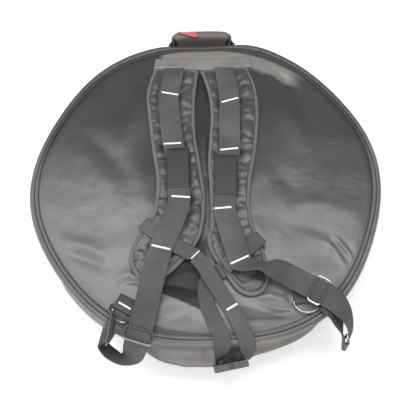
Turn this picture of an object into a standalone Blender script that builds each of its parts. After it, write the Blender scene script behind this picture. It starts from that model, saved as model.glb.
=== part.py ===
"""Padded backpack bag for cymbals, lying on its front with the shoulder straps up.

The frame has its origin at the middle of the flat front, +Z up and +Y towards the carry handle.
All lengths are in metres.
"""

import math
from typing import Iterable, NamedTuple, Sequence

import bmesh
import bpy
from mathutils import Matrix, Vector

# Whole bag
GUSSET_RADIUS = 0.300
BAG_DEPTH = 0.084
SEAM_GAP = 0.0003
WALL = 0.004
PANEL_THICKNESS = 0.0045
PANEL_EDGE_DROP = 0.0015
PANEL_EDGE_ROUND = 0.012
RIM_STEPS = 72

# Piping and the curved shoulder of the side wall under it
PIPING_RADIUS = 0.0033
PIPING_INSET = 0.0097
PIPING_DEPTH = 0.0025
CROWN_HEIGHT = 0.029
CROWN_OUTER_SHARES = ((0.0, 0.0), (0.05, 0.34), (0.26, 0.66), (0.62, 0.84))
CROWN_INNER_SHARES = ((0.98, 0.76), (0.67, 0.6), (0.46, 0.34), (0.42, 0.0))

# Main zip, which stops short of the cloth hinge at the bottom of the bag
ZIP_HEIGHT = 0.020
COIL_HEIGHT = 0.0015
COIL_DEPTH = 0.0024
TAPE_WIDTH = 0.0039
TAPE_THICKNESS = 0.0008
TAPE_INSET = 0.0001
HINGE_ARC = math.radians(100)
HINGE_OVERHANG = 0.0005
SLIDER_PARTING = math.radians(3.4)

# Front cover with its flat pocket
FRONT_OUTER_THICKNESS = 0.008
FRONT_INNER_THICKNESS = 0.003
FRONT_PIPING_HEIGHT = 0.0045
COVER_SHOULDER = 0.002
COVER_LIP_INSET = 0.005
COVER_LIP_RISE = 0.0035
POCKET_LINE = 0.110
POCKET_SLOT = 0.014
POCKET_TAPE_WIDTH = 0.0045
POCKET_TAPE_HEIGHT = 0.0067
POCKET_ZIP_MARGIN = 0.020

# Zip sliders and their pulls
SLIDER_LENGTH = 0.013
SLIDER_WIDTH = 0.009
SLIDER_THICKNESS = 0.0024
CHEEK_HEIGHT = 0.0026
CHEEK_THICKNESS = 0.0012
CHEEK_LENGTH = 0.0034
PIN_RADIUS = 0.0005
PULL_LENGTH = 0.032
PULL_WIDTH = 0.0075
PULL_STEM = 0.0024
PULL_THICKNESS = 0.0019
PULL_CHAMFER = 0.00045
PULL_SHOULDER_SHARE = 0.7
PULL_CLEARANCE = 0.0002
PIN_SIDES = 8
OVERRUN = 0.002

# Webbing, pads and wire fittings
WEBBING = 0.038
WEBBING_THICKNESS = 0.0016
SLIM_WEBBING = 0.025
PAD_THICKNESS = 0.012
PAD_EDGE = 0.003
PATCH_THICKNESS = 0.0012
PATCH_LENGTH = 0.070
WIRE_RADIUS = 0.0016
WIRE_PLAY = 0.0004
WIRE_SIDES_RESOLUTION = 1
D_RING_HALF_WIDTH = 0.0217
D_RING_DEPTH = 0.020
D_RING_BAR = 0.020
TAB_LENGTH = 0.030
GLIDE_LENGTH = 0.0435
GLIDE_WIDTH = 0.0192
GLIDE_CORNER = 0.003
STRAP_RING_LENGTH = 0.054
STRAP_RING_WIDTH = 0.011
STRAP_RING_CORNER = 0.0025
YOKE_THICKNESS = 0.0018
YOKE_DEPTH = 0.030
YOKE_LENGTH = 0.200

# Carry handle
HANDLE_WEBBING = 0.032
HANDLE_HEIGHT = 0.052
ANCHOR_ANGLE = math.radians(13)
ANCHOR_LENGTH = 0.044
HANDLE_RING_LENGTH = 0.036
HANDLE_RING_WIDTH = 0.016
HANDLE_RING_LEAN = math.radians(65)
HANDLE_REACH = 0.026
HANDLE_LOOP_PLAY = 0.0024
GRIP_LENGTH = 0.096
GRIP_THICKNESS = 0.019
GRIP_WIDTH = 0.040
GRIP_SLOT_PLAY = 0.0004
GRIP_SQUARE_SHARE = 0.6
TAG_LENGTH = 0.021
TAG_THICK_END = 0.0045
TAG_THIN_END = 0.0018
TAG_CORD_RADIUS = 0.0009
TAG_CORD_LENGTH = 0.020
TAG_RING_SHARES = (0.0, 0.12, 0.45, 0.8, 1.0)
TAG_BULGE_SHARE = 0.62

# Side release buckle of the chest strap
BUCKLE_SOCKET_LENGTH = 0.036
BUCKLE_PLUG_BASE = 0.014
BUCKLE_WIDTH = 0.034
BUCKLE_THICKNESS = 0.010
BUCKLE_WALL = 0.0016
BUCKLE_BAR_RADIUS = 0.002
BUCKLE_EYE = 0.013
BUCKLE_ARM = 0.0038
BUCKLE_PLAY = 0.0004
PRONG_LENGTH = 0.019
PRONG_WIDTH = 0.0042
BUCKLE_CENTRE_SHARES = (0.088, -1.070, 0.75)
BUCKLE_HEADING = math.radians(10)
BUCKLE_LEAN = math.radians(10)

# Heights of the layers that lie on the back panel
ON_PANEL = BAG_DEPTH + SEAM_GAP
ON_PAD = ON_PANEL + PAD_THICKNESS + SEAM_GAP
PLY = WEBBING_THICKNESS + SEAM_GAP
STRAP_RISE = ON_PAD + WEBBING_THICKNESS / 2 - BAG_DEPTH
PIPING_CENTRE = GUSSET_RADIUS - PIPING_INSET
PANEL_RADIUS = PIPING_CENTRE - PIPING_RADIUS - SEAM_GAP
LOOP_RADIUS = WIRE_RADIUS + WIRE_PLAY + WEBBING_THICKNESS / 2

# Shoulder pad outlines, as shares of the bag's radius, from the top seam down and back up
PAD_LEFT_SHARES = (
    (-0.315, 0.757), (-0.357, 0.577), (-0.345, 0.403), (-0.317, 0.163), (-0.290, -0.043),
    (-0.298, -0.203), (-0.330, -0.310), (-0.395, -0.400), (-0.428, -0.503), (-0.407, -0.587),
    (-0.355, -0.643), (-0.290, -0.650), (-0.215, -0.607), (-0.122, -0.517), (-0.058, -0.425),
    (-0.028, -0.333), (-0.014, -0.210), (-0.017, -0.083), (-0.038, 0.090), (-0.058, 0.263),
    (-0.057, 0.493), (-0.032, 0.740), (-0.170, 0.752),
)
PAD_RIGHT_SHARES = (
    (0.282, 0.757), (0.323, 0.623), (0.333, 0.443), (0.313, 0.253), (0.283, 0.080),
    (0.252, -0.060), (0.235, -0.217), (0.247, -0.347), (0.277, -0.440), (0.300, -0.537),
    (0.305, -0.640), (0.268, -0.717), (0.200, -0.737), (0.142, -0.710), (0.098, -0.655),
    (0.058, -0.587), (0.012, -0.513), (-0.012, -0.420), (0.008, -0.333), (0.012, -0.147),
    (0.008, 0.053), (0.018, 0.190), (0.035, 0.393), (0.027, 0.553), (-0.012, 0.735), (0.140, 0.748),
)

# Webbing routes: x, y as shares of the radius, height as a share of STRAP_RISE above the panel,
# heading of the width and its tilt, both in degrees
STRAP_LEFT_SHARES = (
    (-0.183, 0.750, 1.0, 0, 0), (-0.200, 0.633, 1.0, -4, 0), (-0.220, 0.537, 1.0, 0, 0),
    (-0.210, 0.367, 1.0, 4, 0), (-0.193, 0.200, 1.0, 5, 0), (-0.167, 0.067, 1.0, 4, 0),
    (-0.163, -0.083, 1.0, 2, 0), (-0.160, -0.190, 1.03, -6, 0), (-0.188, -0.300, 1.15, -14, 0),
    (-0.257, -0.470, 1.15, -18, 0), (-0.3000, -0.640, 1.13, -14, 0),
    (-0.3067, -0.672, 1.104, -14, 0),
)
STRAP_RIGHT_SHARES = (
    (0.133, 0.750, 1.0, 0, 0), (0.147, 0.633, 1.0, 4, 0), (0.155, 0.500, 1.0, 6, 0),
    (0.147, 0.333, 1.0, 0, 0), (0.137, 0.140, 1.0, -6, 0), (0.113, 0.033, 1.0, -6, 0),
    (0.103, -0.133, 1.0, 0, 0), (0.090, -0.240, 1.02, 6, 0), (0.113, -0.367, 1.15, 14, 0),
    (0.143, -0.493, 1.15, 20, 0), (0.162, -0.563, 1.22, 26, -4), (0.205, -0.592, 1.60, 40, -22),
    (0.262, -0.600, 1.98, 54, -34), (0.325, -0.606, 1.60, 58, -20), (0.385, -0.628, 1.12, 58, -4),
    (0.405, -0.640, 1.04, 58, 0),
)
CROSS_LEFT_SHARES = ((-0.358, -0.322, 1.0, 52, 0), (-0.205, -0.440, 1.0, 52, 0),
                     (-0.085, -0.514, 1.0, 44, 0))
CROSS_RIGHT_SHARES = ((0.280, -0.420, 1.0, -50, 0), (0.180, -0.503, 1.0, -52, 0),
                      (0.075, -0.587, 1.0, -54, 0))
CHEST_LEFT_SHARES = (
    (-0.074, -0.524, 1.0, 42, 0), (-0.040, -0.565, 1.0, 36, 0), (0.002, -0.637, 0.82, 31, 0),
    (0.052, -0.720, 0.48, 30, 0), (0.100, -0.800, 0.36, 29, 0), (0.142, -0.883, 0.34, 26, 0),
    (0.165, -0.950, 0.28, 20, 0), (0.174, -0.996, 0.10, 14, -6),
)
CHEST_RIGHT_SHARES = (
    (0.062, -0.597, 0.80, -58, 0), (0.030, -0.612, 0.36, -60, 0), (-0.012, -0.640, 0.14, -42, 0),
    (-0.035, -0.700, 0.14, -14, 0), (-0.028, -0.780, 0.16, 12, 0), (0.008, -0.870, 0.18, 18, 0),
    (0.038, -0.940, 0.24, 10, 0), (0.044, -0.985, 0.16, 4, -8), (0.036, -1.018, -0.35, 0, -40),
    (0.020, -1.040, -0.95, 0, -72),
)
CHEST_LOOP_SHARES = ((0.1745, -0.9982, 0.08, 14, -6), (0.176, -1.020, -0.35, 8, -40),
                     (0.170, -1.038, -0.95, 6, -72))
TAIL_LEFT_SHARES = (
    (-0.3071, -0.6737, 1.103, -14, 0), (-0.323, -0.750, 1.04, -15, 0), (-0.345, -0.843, 0.94, -17, 0),
    (-0.367, -0.930, 0.82, -18, 0), (-0.376, -0.957, 0.66, -19, 0), (-0.390, -0.985, -0.15, -24, 4),
    (-0.408, -1.003, -1.25, -38, 10),
    (-0.440, -1.006, -2.16, -58, 16), (-0.490, -0.993, -2.69, -80, 20),
    (-0.537, -0.967, -2.54, -96, 14), (-0.567, -0.933, -1.87, -101, 2),
    (-0.570, -0.907, -0.97, -102, -8), (-0.547, -0.892, -0.30, -101.5, -16),
)
RETURN_LEFT_SHARES = ((-0.482, -0.888, -0.10, -98, -16), (-0.457, -0.897, -0.06, -92, -14),
                      (-0.434, -0.913, -0.04, -84, -12))
TAIL_RIGHT_SHARES = (
    (0.4066, -0.641, 1.04, 58, 0), (0.477, -0.683, 1.02, 58, 0), (0.548, -0.727, 1.00, 58, 0),
    (0.607, -0.764, 0.97, 58, 0), (0.647, -0.800, 0.82, 54, -10), (0.680, -0.850, 0.45, 38, -36),
    (0.692, -0.910, 0.00, 14, -60), (0.682, -0.957, -0.35, -10, -78),
)
RETURN_RIGHT_SHARES = ((0.645, -0.955, -0.42, -10, -80), (0.622, -0.905, -0.15, 12, -62),
                       (0.600, -0.845, 0.24, 34, -30), (0.590, -0.790, 0.46, 52, -8),
                       (0.584, -0.762, 0.50, 57, -3))
RIGHT_FOLD_SHARES = (0.662, -0.994, -0.50)

# Places of the fittings, as shares of the bag's radius, and the heading of each tab
TAB_LEFT_SHARES = (-0.446, -0.793)
TAB_RIGHT_SHARES = (0.490, -0.764)
TAB_LEFT_HEADING = math.radians(240.5)
TAB_RIGHT_HEADING = math.radians(278)
TAB_LEFT_TILT = math.radians(20)
TAB_RIGHT_TILT = math.radians(4)
GLIDE_LEFT_SHARES = (-0.367, -0.930, 0.82)
GLIDE_RIGHT_SHARES = (0.548, -0.727, 1.00)
RING_LEFT_START_SHARES = (-0.495, -0.793, 0.97)
RING_LEFT_RUN_SHARES = (-0.19, -0.93, -0.31)
PATCH_LEFT_SHARES = (-0.165, 0.018)
PATCH_RIGHT_SHARES = (0.107, -0.033)
PATCH_RIGHT_TURN = math.radians(-3)
TAG_PLACE_SHARES = (-0.066, 0.72)

NYLON = ("black satin nylon", (0.085, 0.085, 0.088), 0.45, 0.0)
BINDING = ("woven edge binding", (0.055, 0.055, 0.056), 0.8, 0.0)
BELT = ("polypropylene webbing", (0.06, 0.06, 0.058), 0.7, 0.0)
MESH = ("padded strap cloth", (0.05, 0.05, 0.052), 0.6, 0.0)
PATCH = ("smooth hook and loop patch", (0.035, 0.035, 0.035), 0.5, 0.0)
COIL = ("nylon zip coil", (0.02, 0.02, 0.02), 0.4, 0.0)
STEEL = ("nickel plated steel wire", (0.72, 0.72, 0.72), 0.2, 1.0)
ACETAL = ("black acetal", (0.03, 0.03, 0.03), 0.35, 0.0)
RED = ("red moulded pull", (0.62, 0.045, 0.05), 0.35, 0.0)


class Finish(NamedTuple):
    """Common name, colour, roughness and metallic value of one material."""

    name: str
    colour: tuple[float, float, float]
    roughness: float
    metallic: float


class Station(NamedTuple):
    """One cross-section of a flat band: its centre and the direction of its width."""

    centre: Vector
    across: Vector


def clear_scene() -> None:
    """Remove the objects of the open scene."""
    for item in list(bpy.data.objects):
        bpy.data.objects.remove(item, do_unlink=True)


def material_of(values: Sequence) -> bpy.types.Material:
    """Return the Principled material for one finish, made on its first use."""
    finish = Finish(*values)
    found = bpy.data.materials.get(finish.name)
    if found:
        return found
    made = bpy.data.materials.new(finish.name)
    made.use_nodes = True
    shader = made.node_tree.nodes["Principled BSDF"]
    shader.inputs["Base Color"].default_value = (*finish.colour, 1.0)
    shader.inputs["Roughness"].default_value = finish.roughness
    shader.inputs["Metallic"].default_value = finish.metallic
    return made


def finish_object(name: str, bm: bmesh.types.BMesh, values: Sequence) -> bpy.types.Object:
    """Turn a bmesh into a named object with outward faces and smooth shading."""
    bmesh.ops.recalc_face_normals(bm, faces=bm.faces)
    mesh = bpy.data.meshes.new(name)
    bm.to_mesh(mesh)
    bm.free()
    mesh.materials.append(material_of(values))
    mesh.shade_smooth()
    mesh.set_sharp_from_angle(angle=math.radians(40))
    made = bpy.data.objects.new(name, mesh)
    bpy.context.collection.objects.link(made)
    return made


def turned(name: str, profile: Sequence, values: Sequence, start: float = 0.0,
           sweep: float = math.tau) -> bpy.types.Object:
    """Spin a closed profile of radius and height about the bag's axis."""
    bm = bmesh.new()
    turn = Matrix.Rotation(start, 3, "Z")
    ring = [bm.verts.new(turn @ Vector((radius, 0, height))) for radius, height in profile]
    closed = math.isclose(sweep, math.tau)
    steps = max(1, round(RIM_STEPS * sweep / math.tau))
    if closed:
        edges = [bm.edges.new((ring[i - 1], ring[i])) for i in range(len(ring))]
        geometry = ring + edges
    else:
        face = bm.faces.new(ring)
        geometry = [face, *face.edges, *face.verts]
    bmesh.ops.spin(bm, geom=geometry, cent=(0, 0, 0), axis=(0, 0, 1), angle=sweep, steps=steps,
                   use_merge=closed)
    return finish_object(name, bm, values)


def stacked(name: str, rings: Sequence[Sequence[Vector]], values: Sequence,
            closed: bool = False) -> bpy.types.Object:
    """Join equal rings of points into one skin, capped at both ends unless it closes on itself."""
    bm = bmesh.new()
    loops = [[bm.verts.new(point) for point in ring] for ring in rings]
    count = len(loops[0])
    last = len(loops) if closed else len(loops) - 1
    for level in range(last):
        lower, upper = loops[level], loops[(level + 1) % len(loops)]
        for i in range(count):
            j = (i + 1) % count
            bm.faces.new((lower[i], lower[j], upper[j], upper[i]))
    if not closed:
        bm.faces.new(loops[0])
        bm.faces.new(loops[-1])
    return finish_object(name, bm, values)


def block(size: Sequence[float], centre: Sequence[float]) -> bmesh.types.BMesh:
    """Return a box mesh of the given size about a centre."""
    bm = bmesh.new()
    bmesh.ops.create_cube(bm, size=1.0, matrix=Matrix.Translation(Vector(centre)) @ Matrix.Diagonal((*size, 1)))
    return bm


def helper(bm: bmesh.types.BMesh, name: str) -> bpy.types.Object:
    """Make an object that only serves a Boolean and isn't part of the model."""
    made = finish_object(name, bm, BINDING)
    made.hide_render = True
    made.display_type = "WIRE"
    return made


def rod(start: Vector, end: Vector, radius: float, sides: int = 12) -> bmesh.types.BMesh:
    """Return a closed round bar between two points."""
    bm = bmesh.new()
    run = end - start
    turn = run.to_track_quat("Z", "Y").to_matrix().to_4x4()
    place = Matrix.Translation((start + end) / 2) @ turn
    bmesh.ops.create_cone(bm, cap_ends=True, segments=sides, radius1=radius, radius2=radius,
                          depth=run.length, matrix=place)
    return bm


def apply_boolean(target: bpy.types.Object, tool: bpy.types.Object, operation: str) -> None:
    """Apply one exact Boolean and drop the helper object."""
    modifier = target.modifiers.new(operation.lower(), "BOOLEAN")
    modifier.operation = operation
    modifier.object = tool
    modifier.solver = "EXACT"
    bpy.context.view_layer.update()
    evaluated = target.evaluated_get(bpy.context.evaluated_depsgraph_get())
    result = bpy.data.meshes.new_from_object(evaluated)
    target.modifiers.remove(modifier)
    target.data = result
    bpy.data.objects.remove(tool, do_unlink=True)


def smooth_points(points: Sequence[Vector], steps: int, closed: bool = False) -> list[Vector]:
    """Run a Catmull-Rom curve through the points."""
    count = len(points)
    spans = count if closed else count - 1
    made = []
    for span in range(spans):
        if closed:
            near = [points[(span + shift) % count] for shift in (-1, 0, 1, 2)]
        else:
            near = [points[min(max(span + shift, 0), count - 1)] for shift in (-1, 0, 1, 2)]
        for step in range(steps):
            t = step / steps
            made.append(0.5 * ((2 * near[1]) + (near[2] - near[0]) * t
                               + (2 * near[0] - 5 * near[1] + 4 * near[2] - near[3]) * t * t
                               + (3 * near[1] - near[0] - 3 * near[2] + near[3]) * t * t * t))
    if not closed:
        made.append(points[-1].copy())
    return made


def direction(heading: float, tilt: float) -> Vector:
    """Return the unit vector with this heading about +Z and this tilt above the level."""
    return Vector((math.cos(heading) * math.cos(tilt), math.sin(heading) * math.cos(tilt),
                   math.sin(tilt)))


def on_bag(x_share: float, y_share: float, rise_share: float) -> Vector:
    """Return a place given in shares of the radius and of the straps' rise above the panel."""
    return Vector((x_share * GUSSET_RADIUS, y_share * GUSSET_RADIUS,
                   BAG_DEPTH + rise_share * STRAP_RISE))


def route(table: Sequence, steps: int = 3) -> list[Station]:
    """Turn a webbing route into smooth stations."""
    centres = [on_bag(*row[:3]) for row in table]
    widths = [direction(math.radians(row[3]), math.radians(row[4])) for row in table]
    return [Station(centre, width.normalized()) for centre, width in
            zip(smooth_points(centres, steps), smooth_points(widths, steps))]


def wrapped(centre: Vector, across: Vector, radius: float, first: Vector, turn: float,
            steps: int) -> list[Station]:
    """Return stations around a bar, from the first direction through a signed turn."""
    made = []
    for step in range(steps + 1):
        spoke = Matrix.Rotation(turn * step / steps, 3, across) @ first
        made.append(Station(centre + spoke * radius, across))
    return made


def band(name: str, stations: Sequence[Station], width: float, thickness: float,
         values: Sequence) -> bpy.types.Object:
    """Sweep a flat rectangular section through the stations."""
    rings = []
    for i, station in enumerate(stations):
        ahead = stations[min(i + 1, len(stations) - 1)].centre
        behind = stations[max(i - 1, 0)].centre
        up = (ahead - behind).cross(station.across).normalized()
        side = station.across * (width / 2)
        lift = up * (thickness / 2)
        rings.append([station.centre + side * a + lift * b
                      for a, b in ((-1, -1), (1, -1), (1, 1), (-1, 1))])
    return stacked(name, rings, values)


def wire(name: str, points: Sequence[Vector], radius: float, values: Sequence,
         closed: bool = True) -> bpy.types.Object:
    """Bend a round wire along the points, as a curve that is then made a mesh."""
    curve = bpy.data.curves.new(name, "CURVE")
    curve.dimensions = "3D"
    curve.bevel_depth = radius
    curve.bevel_resolution = WIRE_SIDES_RESOLUTION
    curve.use_fill_caps = True
    spline = curve.splines.new("POLY")
    spline.points.add(len(points) - 1)
    for point, place in zip(spline.points, points):
        point.co = (*place, 1.0)
    spline.use_cyclic_u = closed
    guide = bpy.data.objects.new(name + "_guide", curve)
    bpy.context.collection.objects.link(guide)
    bpy.context.view_layer.update()
    mesh = bpy.data.meshes.new_from_object(guide.evaluated_get(bpy.context.evaluated_depsgraph_get()))
    bpy.data.objects.remove(guide, do_unlink=True)
    bm = bmesh.new()
    bm.from_mesh(mesh)
    bmesh.ops.remove_doubles(bm, verts=bm.verts, dist=SEAM_GAP / 10)
    return finish_object(name, bm, values)


def rounded_frame(length: float, width: float, corner: float, arc_steps: int = 3) -> list[tuple]:
    """Return the plan points of a rectangle with round corners, long side along x."""
    made = []
    for quarter, (sx, sy) in enumerate(((1, 1), (-1, 1), (-1, -1), (1, -1))):
        for step in range(arc_steps + 1):
            angle = math.pi / 2 * (quarter + step / arc_steps)
            made.append((sx * (length / 2 - corner) + corner * math.cos(angle),
                         sy * (width / 2 - corner) + corner * math.sin(angle)))
    return made


def pivot(name: str, place: Vector, pieces: Iterable[bpy.types.Object]) -> bpy.types.Object:
    """Hang the pieces of one moving body on an empty at its joint."""
    empty = bpy.data.objects.new(name, None)
    empty.location = place
    bpy.context.collection.objects.link(empty)
    for piece in pieces:
        piece.parent = empty
        piece.matrix_parent_inverse = Matrix.Translation(place).inverted()
    return empty


# Bag body

def build_back_panel() -> bpy.types.Object:
    """Padded back panel with its edge rolled down to the piping."""
    inner = PANEL_RADIUS - PANEL_EDGE_ROUND
    top = BAG_DEPTH
    base = BAG_DEPTH - PANEL_THICKNESS
    heights = ((inner, top), (PANEL_RADIUS - PANEL_EDGE_ROUND / 3, top - PANEL_EDGE_DROP / 3),
               (PANEL_RADIUS, top - PANEL_EDGE_DROP), (PANEL_RADIUS, base))
    angles = [math.tau * i / RIM_STEPS for i in range(RIM_STEPS)]
    rings = [[Vector((radius * math.cos(a), radius * math.sin(a), height)) for a in angles]
             for radius, height in heights]
    return stacked("back_panel", rings, NYLON)


def piping(name: str, height: float) -> bpy.types.Object:
    """Round piping sewn into the edge seam."""
    section = [(PIPING_CENTRE + PIPING_RADIUS * math.cos(math.tau * i / 6),
                height + PIPING_RADIUS * math.sin(math.tau * i / 6)) for i in range(6)]
    return turned(name, section, BINDING)


def build_gusset() -> bpy.types.Object:
    """Side wall from the zip to the piping, with a rounded shoulder."""
    low = ZIP_HEIGHT + SEAM_GAP + COIL_HEIGHT + TAPE_WIDTH + SEAM_GAP
    shoulder = BAG_DEPTH - CROWN_HEIGHT
    outer = [(GUSSET_RADIUS - PIPING_INSET * inset, shoulder + CROWN_HEIGHT * rise)
             for inset, rise in CROWN_OUTER_SHARES]
    inner = [(GUSSET_RADIUS - PIPING_INSET * inset, shoulder + CROWN_HEIGHT * rise)
             for inset, rise in CROWN_INNER_SHARES]
    profile = [(GUSSET_RADIUS, low), *outer, *inner, (inner[-1][0], low)]
    return turned("gusset", profile, NYLON)


def zip_half(name: str, upward: int) -> bpy.types.Object:
    """One side of the main zip: its tape with the coil along the edge."""
    edge = ZIP_HEIGHT + upward * SEAM_GAP
    coil = edge + upward * COIL_HEIGHT
    tape = coil + upward * TAPE_WIDTH
    outer = GUSSET_RADIUS - TAPE_INSET
    inner = outer - COIL_DEPTH
    front = outer - TAPE_THICKNESS
    back = front - TAPE_THICKNESS
    profile = [(inner, edge), (outer, edge), (outer, coil), (front, coil), (front, tape),
               (back, tape), (back, coil), (inner, coil)]
    return turned(name, profile, COIL, start=-math.pi / 2 + HINGE_ARC / 2, sweep=math.tau - HINGE_ARC)


def hinge_half(name: str, upward: int) -> bpy.types.Object:
    """One side of the cloth hinge that closes the gap below the zip ends."""
    edge = ZIP_HEIGHT + upward * SEAM_GAP
    far = edge + upward * (COIL_HEIGHT + TAPE_WIDTH)
    outer = GUSSET_RADIUS - TAPE_THICKNESS
    inner = outer - WALL / 2
    trim = SEAM_GAP / GUSSET_RADIUS
    profile = [(inner, edge), (outer, edge), (outer, far), (inner, far)]
    return turned(name, profile, NYLON, start=-math.pi / 2 - HINGE_ARC / 2 + trim,
                  sweep=HINGE_ARC - 2 * trim)


def build_cover_strip() -> bpy.types.Object:
    """Narrow part of the side wall that opens with the front cover."""
    top = ZIP_HEIGHT - SEAM_GAP - COIL_HEIGHT - TAPE_WIDTH - SEAM_GAP
    shoulder = top - COVER_SHOULDER
    lip = GUSSET_RADIUS - COVER_LIP_INSET
    profile = [(GUSSET_RADIUS, top), (GUSSET_RADIUS, shoulder),
               (GUSSET_RADIUS - COVER_LIP_INSET / 4, (shoulder + COVER_LIP_RISE) / 2),
               (lip, COVER_LIP_RISE), (lip - COVER_SHOULDER, COVER_LIP_RISE + WALL),
               (GUSSET_RADIUS - WALL, shoulder), (GUSSET_RADIUS - WALL, top)]
    return turned("cover_strip", profile, NYLON)


def chord_piece(name: str, low: float, high: float, base: float, top: float,
                values: Sequence, radius: float = PANEL_RADIUS) -> bpy.types.Object:
    """Slice of the round front between two level lines across it."""
    points = []
    for i in range(RIM_STEPS):
        angle = math.tau * i / RIM_STEPS
        points.append(Vector((radius * math.cos(angle), radius * math.sin(angle), 0)))
    bm = bmesh.new()
    face = bm.faces.new([bm.verts.new(point) for point in points])
    cuts = ((low, (0, -1, 0)), (high, (0, 1, 0)))
    for level, outward in cuts:
        if abs(level) < radius:
            bmesh.ops.bisect_plane(bm, geom=[*bm.verts, *bm.edges, *bm.faces], dist=SEAM_GAP / 10,
                                   plane_co=(0, level, 0), plane_no=outward, clear_outer=True)
    face = bm.faces[:][0]
    outline = [loop.vert.co.copy() for loop in face.loops]
    bm.free()
    rings = [[Vector((p.x, p.y, height)) for p in outline] for height in (base, top)]
    return stacked(name, rings, values)


def pocket_tape(name: str, side: int) -> bpy.types.Object:
    """One side of the straight pocket zip, tape and coil."""
    edge = POCKET_LINE + side * SEAM_GAP
    coil = edge + side * COIL_HEIGHT
    far = POCKET_LINE + side * (POCKET_SLOT / 2 - SEAM_GAP)
    mid = POCKET_TAPE_HEIGHT
    half = COIL_DEPTH / 2
    thin = TAPE_THICKNESS / 2
    reach = math.sqrt(PANEL_RADIUS ** 2 - (POCKET_LINE + POCKET_SLOT / 2) ** 2) - POCKET_ZIP_MARGIN
    section = [(edge, mid - half), (coil, mid - half), (coil, mid - thin), (far, mid - thin),
               (far, mid + thin), (coil, mid + thin), (coil, mid + half), (edge, mid + half)]
    rings = [[Vector((x, y, z)) for y, z in section] for x in (-reach, reach)]
    return stacked(name, rings, COIL)


def build_front() -> list[bpy.types.Object]:
    """Front cover: inner wall, pocket panel, upper facing and the pocket zip."""
    half = POCKET_SLOT / 2
    inner_base = FRONT_OUTER_THICKNESS + SEAM_GAP
    return [
        chord_piece("front_panel", -GUSSET_RADIUS, GUSSET_RADIUS, inner_base,
                    inner_base + FRONT_INNER_THICKNESS, NYLON),
        chord_piece("pocket_panel", -GUSSET_RADIUS, POCKET_LINE - half, 0, FRONT_OUTER_THICKNESS, NYLON),
        chord_piece("front_facing", POCKET_LINE + half, GUSSET_RADIUS, 0, FRONT_OUTER_THICKNESS, NYLON),
        pocket_tape("pocket_zip_lower", -1),
        pocket_tape("pocket_zip_upper", 1),
    ]


# Zip sliders

def build_slider(name: str, place: Matrix) -> tuple[bpy.types.Object, Vector]:
    """Zip slider with two cheeks and the pin that its pull hangs on.

    Local x runs along the zip, y across it and z away from it, from the coil's outer face.
    """
    base = finish_object(name, block((SLIDER_LENGTH, SLIDER_WIDTH, SLIDER_THICKNESS),
                                     (0, 0, SLIDER_THICKNESS / 2)), STEEL)
    modifier = base.modifiers.new("bevel", "BEVEL")
    modifier.width = SLIDER_THICKNESS / 4
    modifier.segments = 1
    bpy.context.view_layer.update()
    mesh = bpy.data.meshes.new_from_object(
        base.evaluated_get(bpy.context.evaluated_depsgraph_get()))
    base.modifiers.clear()
    base.data = mesh
    pin_x = SLIDER_LENGTH / 2 - CHEEK_LENGTH / 2 - SLIDER_THICKNESS / 4
    pin_z = SLIDER_THICKNESS + CHEEK_HEIGHT / 2
    gap = PULL_STEM / 2 + PULL_CLEARANCE
    for side in (-1, 1):
        cheek = block((CHEEK_LENGTH, CHEEK_THICKNESS, CHEEK_HEIGHT + SLIDER_THICKNESS / 2),
                      (pin_x, side * (gap + CHEEK_THICKNESS / 2),
                       SLIDER_THICKNESS / 2 + (CHEEK_HEIGHT + SLIDER_THICKNESS / 2) / 2))
        apply_boolean(base, helper(cheek, "cheek"), "UNION")
    reach = gap + CHEEK_THICKNESS / 2
    pin = rod(Vector((pin_x, -reach, pin_z)), Vector((pin_x, reach, pin_z)), PIN_RADIUS, PIN_SIDES)
    apply_boolean(base, helper(pin, "pin"), "UNION")
    base.data.transform(place)
    return base, Vector((pin_x, 0, pin_z))


def build_pull(name: str, place: Matrix, pin: Vector, values: Sequence) -> bpy.types.Object:
    """Flat pull with an eye round the slider's pin, lying along the zip."""
    hole = (PIN_RADIUS + PULL_CLEARANCE) / math.cos(math.pi / PIN_SIDES)
    rise = PULL_THICKNESS / 2
    neck = pin.x + CHEEK_LENGTH
    end = pin.x + PULL_LENGTH
    half, stem = PULL_WIDTH / 2, PULL_STEM / 2
    rings = []
    for z, inset in ((-rise, PULL_CHAMFER), (PULL_CHAMFER - rise, 0), (rise - PULL_CHAMFER, 0),
                     (rise, PULL_CHAMFER)):
        heel = pin.x - rise + inset
        outline = [(heel, -stem), (neck, -stem), (neck + stem, inset - half * PULL_SHOULDER_SHARE),
                   (end - half, inset - half), (end - inset, -half / 2), (end - inset, half / 2),
                   (end - half, half - inset), (neck + stem, half * PULL_SHOULDER_SHARE - inset),
                   (neck, stem), (heel, stem)]
        rings.append([Vector((x, y, pin.z + z)) for x, y in outline])
    pull = stacked(name, rings, values)
    reach = Vector((0, stem + OVERRUN, 0))
    eye = rod(pin - reach, pin + reach, hole, PIN_SIDES)
    apply_boolean(pull, helper(eye, "eye"), "DIFFERENCE")
    pull.data.transform(place)
    return pull


def slider_frame(angle: float, mirrored: int) -> Matrix:
    """Frame of a slider on the main zip: z outward, x along the rim away from the top."""
    outward = Vector((math.cos(angle), math.sin(angle), 0))
    along = Vector((-outward.y, outward.x, 0)) * mirrored
    across = outward.cross(along)
    origin = outward * (GUSSET_RADIUS + SEAM_GAP) + Vector((0, 0, ZIP_HEIGHT))
    turn = Matrix((along, across, outward)).transposed().to_4x4()
    return Matrix.Translation(origin) @ turn


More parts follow.
